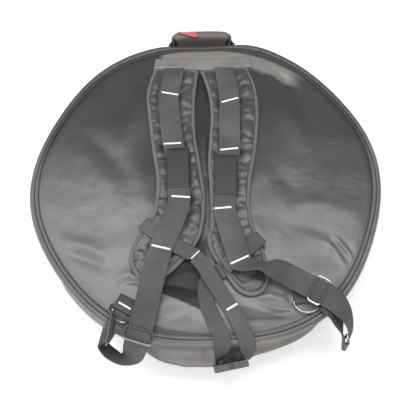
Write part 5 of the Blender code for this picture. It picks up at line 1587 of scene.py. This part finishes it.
@dataclass
class Pad:
    """One quilted shoulder pad: a stuffed body pressed under its webbing and a bound edge."""

    name: str
    outline: tuple[tuple[float, float], ...]
    webbing: tuple[tuple[float, ...], ...]
    tacks: tuple[tuple[float, float, float, float], ...]
    binding: float = 9.2 * MM
    binding_height: float = 6.0 * MM
    binding_level: float = 4.9 * MM
    puff: float = 3.2 * MM
    swell: float = 4.5 * MM
    frames: int = 20

    def edge(self, steps: int = 6) -> list[Vector]:
        """Return the pad's outline."""
        corners = [Vector((x * GUSSET_RADIUS, y * GUSSET_RADIUS, 0)) for x, y in self.outline]
        return smooth_points(corners, steps, closed=True)

    def inset(self, amount: float, steps: int = 6) -> list[Vector]:
        """Return the outline drawn in by an amount."""
        points = self.edge(steps)
        count = len(points)
        area = sum(points[i - 1].x * points[i].y - points[i].x * points[i - 1].y for i in range(count))
        made = []
        for i in range(count):
            run = (points[(i + 2) % count] - points[i - 2]).normalized()
            inward = Vector((-run.y, run.x, 0)) * (1 if area > 0 else -1)
            made.append(points[i] + inward * amount)
        return made

    def centre_line(self) -> list[Vector]:
        """Return the webbing's centre line over the pad."""
        return [station.centre for station in route(self.webbing)]

    def build(self) -> bpy.types.Object:
        """Stuff the cloth, press it down and sew the bound edge."""
        body = self.stuffed()
        self.press(body)
        settle(sewn_down(body), Body.STRAPS, PAD_CLOTH, self.name)
        level = ON_PANEL + self.binding_level
        line = raised(self.inset(self.binding / 2), level)
        trim = Trim().build(f"{self.name}_binding", line, self.binding, self.binding_height, TAPE)
        settle(sewn_down(trim), Body.STRAPS, TAPE)
        seam = raised(self.inset(self.binding * 0.68), level + self.binding_height / 2 - 0.25 * MM)
        stitches = Row().build(f"{self.name}_stitches", [seam], PAD_STITCH, DARK_THREAD, closed=True)
        settle(sewn_down(stitches), Body.STRAPS, DARK_THREAD)
        return body

    def stuffed(self) -> bpy.types.Object:
        """Inflate a flat cloth body with the cloth solver, held down along the webbing."""
        points = self.inset(self.binding * 0.55, 4)
        low, high = ON_PANEL + 2.2 * MM, ON_PANEL + 8.4 * MM
        bm = bmesh.new()
        rings = [[bm.verts.new((p.x, p.y, z)) for p in points] for z in (low, high)]
        bm.faces.new(rings[0][::-1])
        bm.faces.new(rings[1])
        for i in range(len(points)):
            j = (i + 1) % len(points)
            bm.faces.new((rings[0][i], rings[0][j], rings[1][j], rings[1][i]))
        bmesh.ops.recalc_face_normals(bm, faces=bm.faces)
        mesh = bpy.data.meshes.new(f"{self.name}_cushion")
        bm.to_mesh(mesh)
        bm.free()
        piece = new_object(f"{self.name}_cushion", mesh)
        remesh = piece.modifiers.new("even", "REMESH")
        remesh.mode = "VOXEL"
        remesh.voxel_size = 4.6 * MM
        realised(piece)
        self.inflate(piece)
        level = piece.modifiers.new("soft", "SUBSURF")
        level.levels = level.render_levels = 1
        realised(piece)
        piece.data.materials.clear()
        piece.data.materials.append(PAD_CLOTH.material())
        piece.data.shade_smooth()
        return piece

    def tack_distance(self, place: Vector) -> float:
        """Return how far a place is from the nearest bar tack, seen from above."""
        return min(to_segment(place.x, place.y, [value * MM for value in row]) for row in self.tacks)

    def inflate(self, piece: bpy.types.Object) -> None:
        """Run the cloth solver under pressure, with the sewn places pinned."""
        line = self.centre_line()
        rest = [vertex.co.copy() for vertex in piece.data.vertices]
        held = piece.vertex_groups.new(name="sewn")
        for index, place in enumerate(rest):
            away = min(math.hypot(place.x - p.x, place.y - p.y) for p in line)
            if (abs(away - WEBBING / 2) < 3.0 * MM or self.tack_distance(place) < 4 * MM
                    or place.z < ON_PANEL + 3 * MM):
                held.add([index], 1.0, "REPLACE")
        cloth = piece.modifiers.new("stuffing", "CLOTH")
        for key, value in (("quality", 5), ("mass", 0.2), ("tension_stiffness", 8),
                           ("compression_stiffness", 8), ("shear_stiffness", 4),
                           ("bending_stiffness", 0.25), ("use_pressure", True),
                           ("uniform_pressure_force", 4.0), ("shrink_min", -0.04),
                           ("vertex_group_mass", "sewn")):
            setattr(cloth.settings, key, value)
        cloth.settings.effector_weights.gravity = 0.0
        cloth.point_cache.frame_start, cloth.point_cache.frame_end = 1, self.frames
        scene = bpy.context.scene
        for frame_number in range(1, self.frames + 1):
            scene.frame_set(frame_number)
        realised(piece)
        scene.frame_set(1)
        for vertex, place in zip(piece.data.vertices, rest):
            move = vertex.co - place
            if move.length > self.swell:
                vertex.co = place + move.normalized() * self.swell

    def press(self, piece: bpy.types.Object) -> None:
        """Lay the stuffed body on the panel, under the webbing and into its bar tacks."""
        line = self.centre_line()
        for vertex in piece.data.vertices:
            place = vertex.co
            away = min(math.hypot(place.x - p.x, place.y - p.y) for p in line) - WEBBING / 2
            if place.z > ON_PANEL + 5.5 * MM:
                pucker = noise.noise(Vector((place.x * 60, place.y * 34, 2.0))) * 1.1 * MM
                place.z += (pucker + self.puff * 0.8) * clamped(away / (9 * MM))
                place.z -= 3.2 * MM * bell(self.tack_distance(place), 9 * MM)
                cap = ON_PAD - 0.5 * MM if away < 1 * MM else ON_PAD + self.puff
                place.z = min(place.z, cap)
            place.z = max(place.z, ON_PANEL + 0.1 * MM)


@dataclass
class StrapSet:
    """Both shoulder straps with their lower webbing, patches and the chest strap."""

    patch_length: float = 0.078
    patch_thickness: float = 1.2 * MM
    tab_length: float = 0.021
    ring_length: float = 0.054
    ring_width: float = 0.011
    buckle_total: float = 0.0504
    buckle_eye: float = 0.013
    buckle_bar: float = 2 * MM
    buckle_thickness: float = 0.010

    def build(self) -> None:
        """Build pads, webbing and sewing."""
        left = Pad("pad_left", PAD_LEFT, STRAP_LEFT, PAD_TACKS_LEFT).build()
        right = Pad("pad_right", PAD_RIGHT, STRAP_RIGHT[:10], PAD_TACKS_RIGHT).build()
        belts = [self.left_belt(), self.right_belt(), *self.chest()]
        for side, table in (("left", CROSS_LEFT), ("right", CROSS_RIGHT)):
            cross = Ribbon(f"cross_{side}_webbing", route(table), SLIM_WEBBING).build()
            belts.append(settle(cross, Body.STRAPS, BELT, f"cross_{side}"))
        patches = [self.patch("left", (-0.165, 0.018), 0.0), self.patch("right", (0.107, -0.033), -3.0)]
        tabs = [self.tab("left", (-0.446, -0.793), 240.5), self.tab("right", (0.490, -0.764), 278.0)]
        self.tacks("strap_bar_tacks", Body.STRAPS, PAD_TACKS_LEFT + PAD_TACKS_RIGHT + CHEST_TACKS,
                   [left, right, *belts, *patches])
        self.tacks("tab_bar_tacks", Body.BACK, TAB_TACKS, tabs)

    @staticmethod
    def tacks(name: str, body: Body, rows: Sequence[Sequence[float]],
              pieces: Sequence[bpy.types.Object]) -> None:
        """Sew dense white bar tacks through the pieces.

        Args:
            name: the piece's name.
            body: the body that it moves with.
            rows: each tack's ends in millimetres.
            pieces: what they are sewn on.
        """
        for number, row in enumerate(rows):
            line = Line(Vector((row[0], row[1], 0)) * MM, Vector((row[2], row[3], 0)) * MM)
            run = (line.end - line.start).normalized()
            sew(f"{name}_{number}", [laid(pieces, line, 0.25 * MM)], BAR_TACK, WHITE_THREAD, body,
                Vector((-run.y, run.x, 0)))

    def left_belt(self) -> bpy.types.Object:
        """Build the left strap's webbing down to its ring and back."""
        run = Vector((-0.19, -0.93, -0.31)).normalized()
        rise = (UP - run * run.dot(UP)).normalized()
        centre = on_bag(-0.495, -0.793, 0.97) + run * (self.ring_length / 2)
        bar = centre - rise * (self.ring_width / 2) + run * (WEBBING / 9)
        around = wrapped(bar, run, LOOP_RADIUS, run.cross(rise), -math.pi)
        back = [Station(s.centre + Vector((0, 7, 0)) * MM, s.across * 0.62) for s in route(RETURN_LEFT)]
        stations = route(STRAP_LEFT + TAIL_LEFT) + around + back
        return self.long_belt("left", stations, (-0.090, -0.196, ON_PAD), (-0.100, -0.249, ON_PAD))

    def right_belt(self) -> bpy.types.Object:
        """Build the right strap's webbing over its hump, down the wall and back."""
        across = direction(math.radians(-20), math.radians(-84))
        back = on_bag(*RETURN_RIGHT[0][:3]) + on_bag(*TAIL_RIGHT[-1][:3])
        fold = on_bag(*RIGHT_FOLD)
        inward = back / 2 - fold
        inward = (inward - across * inward.dot(across)).normalized()
        outer = across.cross(inward)
        outer = -outer if outer.x < 0 else outer
        quarter = Matrix.Rotation(math.pi / 2, 3, across) @ outer
        turn = math.pi if quarter.dot(inward) < 0 else -math.pi
        around = wrapped(fold, across, LOOP_RADIUS, outer, turn)
        stations = route(STRAP_RIGHT + TAIL_RIGHT) + around + route(RETURN_RIGHT)
        return self.long_belt("right", stations, (0.113, -0.181, ON_PAD), (0.142, -0.208, ON_PAD))

    @staticmethod
    def long_belt(side: str, stations: list[Station], near: Sequence[float],
                  far: Sequence[float]) -> bpy.types.Object:
        """Sweep a strap's webbing and press it flat where the yoke's seam catches the pads' ends.

        Args:
            side: "left" or "right".
            stations: the whole run.
            near: not used.
            far: not used.

        Returns:
            The webbing.
        """
        belt = sewn_down(Ribbon(f"strap_{side}_webbing", stations, WEBBING).build())
        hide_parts(f"strap_{side}", f"tail_{side}")
        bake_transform(belt)
        return belt

    def chest(self) -> list[bpy.types.Object]:
        """Build both halves of the chest strap, each looped through its buckle half."""
        left = route(CHEST_LEFT) + self.bar_loop(1)
        belt = Ribbon("chest_left_webbing", left, SLIM_WEBBING).build()
        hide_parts("chest_left", "chest_loop")
        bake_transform(belt)
        other = Ribbon("chest_right_webbing", route(CHEST_RIGHT) + self.bar_loop(-1),
                       SLIM_WEBBING).build()
        return [belt, settle(other, Body.STRAPS, BELT, "chest_right")]

    def bar_loop(self, sign: int) -> list[Station]:
        """Return the stations of a belt round the bar at one end of the buckle."""
        place = Vector((0.088 * GUSSET_RADIUS, -1.070 * GUSSET_RADIUS, 0.75 * BAG_DEPTH))
        turn = Matrix.Rotation(math.radians(10), 4, "Z") @ Matrix.Rotation(math.radians(10), 4, "X")
        buckle = Matrix.Translation(place) @ turn
        outward = Vector((sign, 0, 0))
        across = turn.to_3x3() @ Vector((0, 0, -1))
        bar = outward * (self.buckle_total / 2 - self.buckle_eye / 2 + self.buckle_bar / 2)
        radius = self.buckle_bar + WIRE_PLAY + BELT_THICKNESS / 2
        lead = Vector((0, self.buckle_thickness / 2 + self.buckle_bar, 0))
        around = [bar + Matrix.Rotation(-math.pi * sign * i / 12, 3, "Z") @ outward * radius
                  for i in range(13)]
        back = around[-1] + lead + outward * (radius * 2 - PLY) / 2
        return [Station(buckle @ point, across) for point in [around[0] + lead, *around, back]]

    def patch(self, side: str, shares: tuple[float, float], turn: float) -> bpy.types.Object:
        """Build one smooth patch with its border of stitches.

        Args:
            side: "left" or "right".
            shares: its centre as shares of the radius.
            turn: its turn in degrees.

        Returns:
            The patch.
        """
        centre = Vector((shares[0] * GUSSET_RADIUS, shares[1] * GUSSET_RADIUS, ON_PAD + PLY))
        spin = Matrix.Rotation(math.radians(turn), 3, "Z")
        half_x, half_y = WEBBING / 2 + 0.8 * MM, self.patch_length / 2

        def corners(inset: float) -> list[Vector]:
            return [centre + spin @ Vector((x * (half_x - inset), y * (half_y - inset), 0))
                    for x, y in ((-1, -1), (1, -1), (1, 1), (-1, 1))]

        plate = sewn_plate(f"patch_{side}_cloth", corners(0.0), self.patch_thickness, PATCH, (24, 40),
                           0.5 * MM)
        settle(plate, Body.STRAPS, PATCH, f"patch_{side}")
        ends = corners(3.4 * MM)
        loop = []
        for i in range(4):
            loop += laid([plate], Line(ends[i], ends[(i + 1) % 4]), 0.1 * MM, 12)[:-1]
        sew(f"patch_{side}_stitches_0", [loop], PATCH_STITCH, DARK_THREAD, Body.STRAPS, closed=True)
        return plate

    def tab(self, side: str, shares: tuple[float, float], heading: float) -> bpy.types.Object:
        """Build the folded webbing tab that holds a D-ring.

        Args:
            side: "left" or "right".
            shares: the ring bar's place as shares of the radius.
            heading: the way it points, in degrees.

        Returns:
            The tab.
        """
        outward = direction(math.radians(heading), 0)
        along = Vector((-outward.y, outward.x, 0))
        place = Vector((shares[0] * GUSSET_RADIUS, shares[1] * GUSSET_RADIUS,
                        ON_PANEL + BELT_THICKNESS / 2 + LOOP_RADIUS))
        turn = Matrix((along, outward, UP)).transposed()
        across = Vector((1, 0, 0))
        low = -LOOP_RADIUS
        top = low + PLY
        back = LOOP_RADIUS * 3
        stations = [Station(Vector((0, -self.tab_length * (1 - i / 6), low)), across) for i in range(6)]
        stations += wrapped(Vector(), across, LOOP_RADIUS, Vector((0, 0, -1)), math.pi)
        stations += [Station(Vector((0, -back / 2, (LOOP_RADIUS + top) / 2)), across),
                     Station(Vector((0, -back, top)), across),
                     Station(Vector((0, -self.tab_length, top)), across)]
        placed = [Station(place + turn @ s.centre, turn @ s.across) for s in stations]
        tab = Ribbon(f"d_ring_tab_{side}_webbing", placed, WEBBING).build()
        return settle(tab, Body.BACK, BELT, f"d_ring_tab_{side}")


@dataclass
class CarryHandle:
    """Anchors on the side wall, doubled webbing through two rings and a padded grip."""

    webbing: float = 0.032
    height: float = 0.052
    anchor_angle: float = math.radians(13)
    anchor_length: float = 0.044
    ring_width: float = 0.016
    ring_lean: float = math.radians(65)
    reach: float = 0.026
    loop_play: float = 2.4 * MM
    grip_length: float = 0.111
    grip_thickness: float = 0.021
    grip_width: float = 0.043

    def build(self) -> None:
        """Build the handle's cloth and webbing."""
        for side, sign in (("left", -1), ("right", 1)):
            self.anchor(side, sign)
        self.belt()
        self.grip()
        self.red_pull()
        self.cord()

    def bars(self, sign: int) -> tuple[Vector, Vector]:
        """Return a ring's bar in its anchor and its outer bar."""
        radius = GUSSET_RADIUS + SEAM_GAP + BELT_THICKNESS / 2 + LOOP_RADIUS
        bar = Vector((sign * radius * math.sin(self.anchor_angle), radius * math.cos(self.anchor_angle),
                      self.height))
        lean = Vector((-sign * math.cos(self.ring_lean), math.sin(self.ring_lean), 0))
        return bar, bar + lean * self.ring_width

    def anchor(self, side: str, sign: int) -> None:
        """Build one webbing anchor folded round its ring, with its bar tack.

        Args:
            side: "left" or "right".
            sign: the sign of x on that side.
        """
        near = GUSSET_RADIUS + SEAM_GAP + BELT_THICKNESS / 2
        arc = self.anchor_length / GUSSET_RADIUS

        def at(radius: float, angle: float) -> Vector:
            return Vector((sign * radius * math.sin(angle), radius * math.cos(angle), self.height))

        lower = [Station(at(near, self.anchor_angle + arc * (1 - i / 8)), UP) for i in range(8)]
        bar = self.bars(sign)[0]
        inward = -Vector((sign * math.sin(self.anchor_angle), math.cos(self.anchor_angle), 0))
        around = wrapped(bar, UP, LOOP_RADIUS, inward, -sign * math.pi)
        rest = LOOP_RADIUS * 3 / GUSSET_RADIUS
        upper = [Station(at(near + PLY, self.anchor_angle + rest), UP)]
        upper += [Station(at(near + PLY, self.anchor_angle + arc * i / 8), UP) for i in range(3, 9)]
        belt = Ribbon(f"handle_anchor_{side}_webbing", lower + around + upper, self.webbing).build()
        settle(belt, Body.BACK, BELT, f"handle_anchor_{side}")
        for number, share in enumerate((0.42, 0.86)):
            place = at(near + PLY + BELT_THICKNESS / 2 + 0.15 * MM, self.anchor_angle + arc * share)
            half = Vector((0, 0, self.webbing * 0.42))
            tangent = Vector((sign * math.cos(self.anchor_angle + arc * share),
                              -math.sin(self.anchor_angle + arc * share), 0))
            sew(f"handle_anchor_{side}_tack_{number}", [[place - half, place + half]], ANCHOR_TACK,
                DARK_THREAD, Body.BACK, tangent)

    def path(self, steps: int = 10) -> list[Vector]:
        """Return the centre line between the rings' outer bars."""
        left, right = self.bars(-1)[1], self.bars(1)[1]
        shares = ((-1.0, 0.0), (-0.96, 0.44), (-0.80, 0.88), (-0.4, 1.0), (0.4, 1.0), (0.80, 0.88),
                  (0.96, 0.44), (1.0, 0.0))
        return smooth_points([Vector((x * right.x, right.y + y * self.reach, left.z))
                              for x, y in shares], steps)

    @staticmethod
    def normals(points: Sequence[Vector]) -> list[Vector]:
        """Return the outward normals of a level path."""
        made = []
        for i in range(len(points)):
            run = points[min(i + 1, len(points) - 1)] - points[max(i - 1, 0)]
            made.append(Vector((-run.y, run.x, 0)).normalized())
        return made

    def belt(self) -> None:
        """Build the doubled webbing with a loose loop round each ring."""
        path = self.path()
        normals = self.normals(path)
        radius = LOOP_RADIUS + self.loop_play
        inside = range(10, len(path) - 10)
        outer = [Station(path[i] + normals[i] * (PLY / 2), UP) for i in inside]
        inner = [Station(path[i] - normals[i] * (PLY / 2), UP) for i in reversed(inside)]
        middle = len(inner) // 2
        right = wrapped(self.bars(1)[1], UP, radius, normals[-1], -math.pi)
        left = wrapped(self.bars(-1)[1], UP, radius, -normals[0], -math.pi)
        stations = inner[middle + 1:] + left + outer + right + inner[:middle]
        belt = Ribbon("handle_webbing_belt", stations, self.webbing).build()
        settle(belt, Body.HANDLE, BELT, "handle_webbing")

    def grip(self) -> None:
        """Build the padded sleeve with its lengthwise seam."""
        path = [p for p in self.path(24) if abs(p.x) <= self.grip_length / 2]
        normals = self.normals(path)
        slot_y = PLY / 2 + BELT_THICKNESS / 2 + 0.4 * MM
        slot_z = self.webbing / 2 + 0.4 * MM
        count = 40
        ways = [(math.cos(math.tau * (i + 0.5) / count), math.sin(math.tau * (i + 0.5) / count))
                for i in range(count)]
        verts = []
        for p, n in zip(path, normals):
            ends = (self.grip_length / 2 - abs(p.x)) / (7 * MM)
            full = 0.80 + 0.20 * clamped(ends) ** 0.5
            for cosine, sine in ways:
                pucker = 1 + 0.035 * noise.noise(Vector((p.x * 70, cosine * 2, sine * 2)))
                y = math.copysign(abs(cosine) ** 0.62, cosine) * self.grip_thickness / 2 * full * pucker
                z = math.copysign(abs(sine) ** 0.62, sine) * self.grip_width / 2 * (0.5 + 0.5 * full)
                verts.append(p + n * y + UP * z)
        for p, n in reversed(list(zip(path, normals))):
            for cosine, sine in ways:
                y = max(-slot_y, min(slot_y, cosine * self.grip_thickness))
                z = max(-slot_z, min(slot_z, sine * self.grip_width))
                verts.append(p + n * y + UP * z)
        grip = mesh_piece("handle_grip_cloth", verts, tube_faces(2 * len(path), count, joined=True),
                          GRIP_CLOTH, even=True)
        settle(grip, Body.HANDLE, GRIP_CLOTH, "handle_grip")
        top = self.grip_width / 2
        seam = raised([p for p in path if abs(p.x) < self.grip_length / 2 - 4 * MM], top + 0.1 * MM)
        welt = Trim().build("handle_grip_seam", seam, 2.2 * MM, 1.8 * MM, TAPE, closed=False, sides=8)
        settle(welt, Body.HANDLE, TAPE)
        beside = [p + n * self.grip_thickness * 0.28 - UP * 0.6 * MM for p, n in zip(path, normals)
                  if abs(p.x) < self.grip_length / 2 - 8 * MM]
        sew("handle_grip_stitches", [raised(beside, top)], GRIP_STITCH, WHITE_THREAD, Body.HANDLE)

    def red_pull(self) -> None:
        """Build the moulded vinyl pull, a flat teardrop that lies along the grip's outer edge."""
        low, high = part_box("red_pull")
        start, stop = high[0] + 2 * MM, high[0] - 40 * MM
        centre_y, centre_z = high[1] - 0.3 * MM, (low[2] + high[2]) / 2 + 1 * MM
        count, steps = 16, 22
        verts = []
        for i in range(steps + 1):
            share = i / steps
            x = start + (stop - start) * share
            lift, lie = (9.6 - 0.8 * share) * MM, math.radians(70)
            tall = (8.6 - 5.6 * smooth_step(share * 1.1 - 0.05)) * MM
            thick = (2.6 - 1.2 * share) * MM
            nearest = min(share, 1 - share)
            if nearest < 0.14:
                closing = math.sqrt(max(0.02, 1 - (1 - nearest / 0.14) ** 2))
                tall, thick = tall * closing, thick * closing
            drop = (21.5 - 10.0 * share) * MM
            for j in range(count):
                angle = math.tau * j / count
                thin, wide = thick * math.cos(angle), tall * math.sin(angle)
                verts.append(Vector((x, centre_y - drop + thin * math.cos(lie) - wide * math.sin(lie),
                                     centre_z + lift + thin * math.sin(lie) + wide * math.cos(lie))))
        ends = [tuple(reversed(range(count))), tuple(range(steps * count, (steps + 1) * count))]
        pull = mesh_piece("red_pull_vinyl", verts, tube_faces(steps + 1, count) + ends, RED, even=True)
        settle(pull, Body.HANDLE, RED, "red_pull")

    def cord(self) -> None:
        """Build the red pull's short cord in the CAD cord's place."""
        low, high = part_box("red_pull_cord")
        radius = 0.9 * MM
        start, stop = low[0] + radius, high[0]
        y, z = (low[1] + high[1]) / 2, (low[2] + high[2]) / 2
        line = [Vector((start + (stop - start) * i / 12, y + 0.2 * MM * math.sin(i * 0.9), z))
                for i in range(13)]
        cord = Trim().build("red_pull_cord_braid", line, 2 * radius, 2 * radius, TAPE, closed=False,
                            sides=8)
        settle(cord, Body.HANDLE, TAPE, "red_pull_cord")


@dataclass
class Hardware:
    """Rigid CAD pieces that keep their own shape and take a finer finish."""

    wire: tuple[str, ...] = ("d_ring_left", "d_ring_right", "strap_ring_left", "strap_ring_right",
                             "handle_ring_left", "handle_ring_right", "zip_slider_left",
                             "zip_slider_right", "pocket_slider")
    moulded: tuple[str, ...] = ("buckle_socket", "buckle_plug")
    red: tuple[str, ...] = ("zip_pull_left", "zip_pull_right", "pocket_pull")

    def build(self) -> None:
        """Dress each kept CAD node in its finish."""
        for names, finish in ((self.wire, NICKEL), (self.moulded, ACETAL), (self.red, RED),
                              (("glide_left",), GLIDE_LEFT_SHADE_PAINTED),
                              (("glide_right",), GLIDE_RIGHT_SHADE_PAINTED)):
            for name in names:
                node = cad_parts[name]
                for number in range(len(node.data.materials)):
                    node.data.materials[number] = finish.material()
                LOG.info("%s keeps its CAD shape in %s", name, finish.name)


class Lamp(NamedTuple):
    """A soft rectangular lamp: where it stands and points, its sides in metres and its watts."""

    name: str
    place: tuple[float, float, float]
    target: tuple[float, float, float]
    width: float
    height: float
    power: float


def set_up(name: str, data: bpy.types.ID, place: Sequence[float], target: Sequence[float]
           ) -> bpy.types.Object:
    """Stand a lamp or a camera in its place, looking at its target.

    Args:
        name: the object's name.
        data: the lamp or the camera.
        place: where it stands.
        target: where it points.

    Returns:
        The new object.
    """
    made = new_object(name, data)
    made.location = place
    made.rotation_euler = (Vector(target) - Vector(place)).to_track_quat("-Z", "Y").to_euler()
    return made


@dataclass
class Studio:
    """Pale floor, soft lamps and the camera at the photograph's angle."""

    camera_place: tuple[float, float, float] = (-0.0238, -0.4614, 0.891)
    camera_target: tuple[float, float, float] = (-0.0119, -0.0076, 0.0)
    focal_length: float = 48.105
    sensor: float = 36.0
    floor_size: float = 6.0
    lamps: tuple[Lamp, ...] = (
        Lamp("overhead softbox", (-0.05, 0.20, 1.36), (-0.05, 0.0, 0.05), 1.5, 0.5, 10.6),
        Lamp("front softbox", (-0.4, -1.9, 0.9), (0.0, 0.0, 0.03), 1.4, 0.7, 15.0),
        Lamp("side softbox", (-1.6, 0.2, 0.9), (0.0, 0.0, 0.03), 1.0, 0.8, 6.0),
    )

    def build(self) -> None:
        """Set the floor, lamps, world and camera."""
        self.floor()
        for lamp in self.lamps:
            data = bpy.data.lights.new(lamp.name, "AREA")
            data.shape = "RECTANGLE"
            data.size, data.size_y, data.energy = lamp.width, lamp.height, lamp.power
            set_up(lamp.name, data, lamp.place, lamp.target)
        self.world()
        data = bpy.data.cameras.new("camera")
        data.lens, data.sensor_width = self.focal_length, self.sensor
        bpy.context.scene.camera = set_up("camera", data, self.camera_place, self.camera_target)
        bpy.context.scene.view_settings.view_transform = "Standard"

    def floor(self) -> None:
        """Make a plain matt floor just under the bag."""
        made = bpy.data.materials.new("plain pale floor")
        made.use_nodes = True
        shader = made.node_tree.nodes["Principled BSDF"]
        for name, value in (("Base Color", (0.93, 0.92, 0.91, 1.0)),
                            ("Emission Color", (1.0, 0.985, 0.97, 1.0)), ("Emission Strength", 0.28),
                            ("Roughness", 0.9), ("Specular IOR Level", 0.1)):
            shader.inputs[name].default_value = value
        mesh = bpy.data.meshes.new("floor")
        size = self.floor_size
        corners = [(-size, -size, 0), (size, -size, 0), (size, size, 0), (-size, size, 0)]
        mesh.from_pydata(corners, [], [(0, 1, 2, 3)])
        mesh.materials.append(made)
        floor = new_object("floor", mesh)
        floor.location.z = -0.3 * MM

    @staticmethod
    def world() -> None:
        """White to the camera, dimmer as fill, and darker behind the bag."""
        world = bpy.data.worlds.new("white studio")
        bpy.context.scene.world = world
        world.use_nodes = True
        tree = world.node_tree
        tree.nodes.clear()
        path = add_node(tree, "ShaderNodeLightPath")
        seen = add_node(tree, "ShaderNodeMath", operation="MAXIMUM",
                        links={0: path.outputs["Is Camera Ray"], 1: path.outputs["Is Transmission Ray"]})
        level = add_node(tree, "ShaderNodeMapRange", {"To Min": 0.66, "To Max": 1.0}, {"Value": seen})
        heading = add_node(tree, "ShaderNodeSeparateXYZ",
                           links={"Vector": add_node(tree, "ShaderNodeTexCoord").outputs["Generated"]})
        back = add_node(tree, "ShaderNodeMapRange",
                        {"From Min": 0.36, "From Max": 0.68, "To Min": 1.0, "To Max": 0.35},
                        {"Value": heading.outputs["Y"]}, interpolation_type="SMOOTHSTEP")
        held = add_node(tree, "ShaderNodeMath", operation="MAXIMUM", links={0: back, 1: seen})
        shaded = add_node(tree, "ShaderNodeMath", operation="MULTIPLY", links={0: level, 1: held})
        light = add_node(tree, "ShaderNodeBackground", {"Color": (1.0, 1.0, 1.0, 1.0)},
                         {"Strength": shaded})
        add_node(tree, "ShaderNodeOutputWorld", links={"Surface": light})


def main() -> None:
    """Build every sub-assembly and the studio."""
    logging.basicConfig(level=logging.INFO, format="%(name)s: %(message)s")
    BagShell().build()
    FrontCover().build()
    zipper = MainZip()
    zipper.half("back", 1, Body.BACK)
    zipper.half("front", -1, Body.COVER)
    StrapSet().build()
    CarryHandle().build()
    Hardware().build()
    Studio().build()


if __name__ == "__main__":
    main()
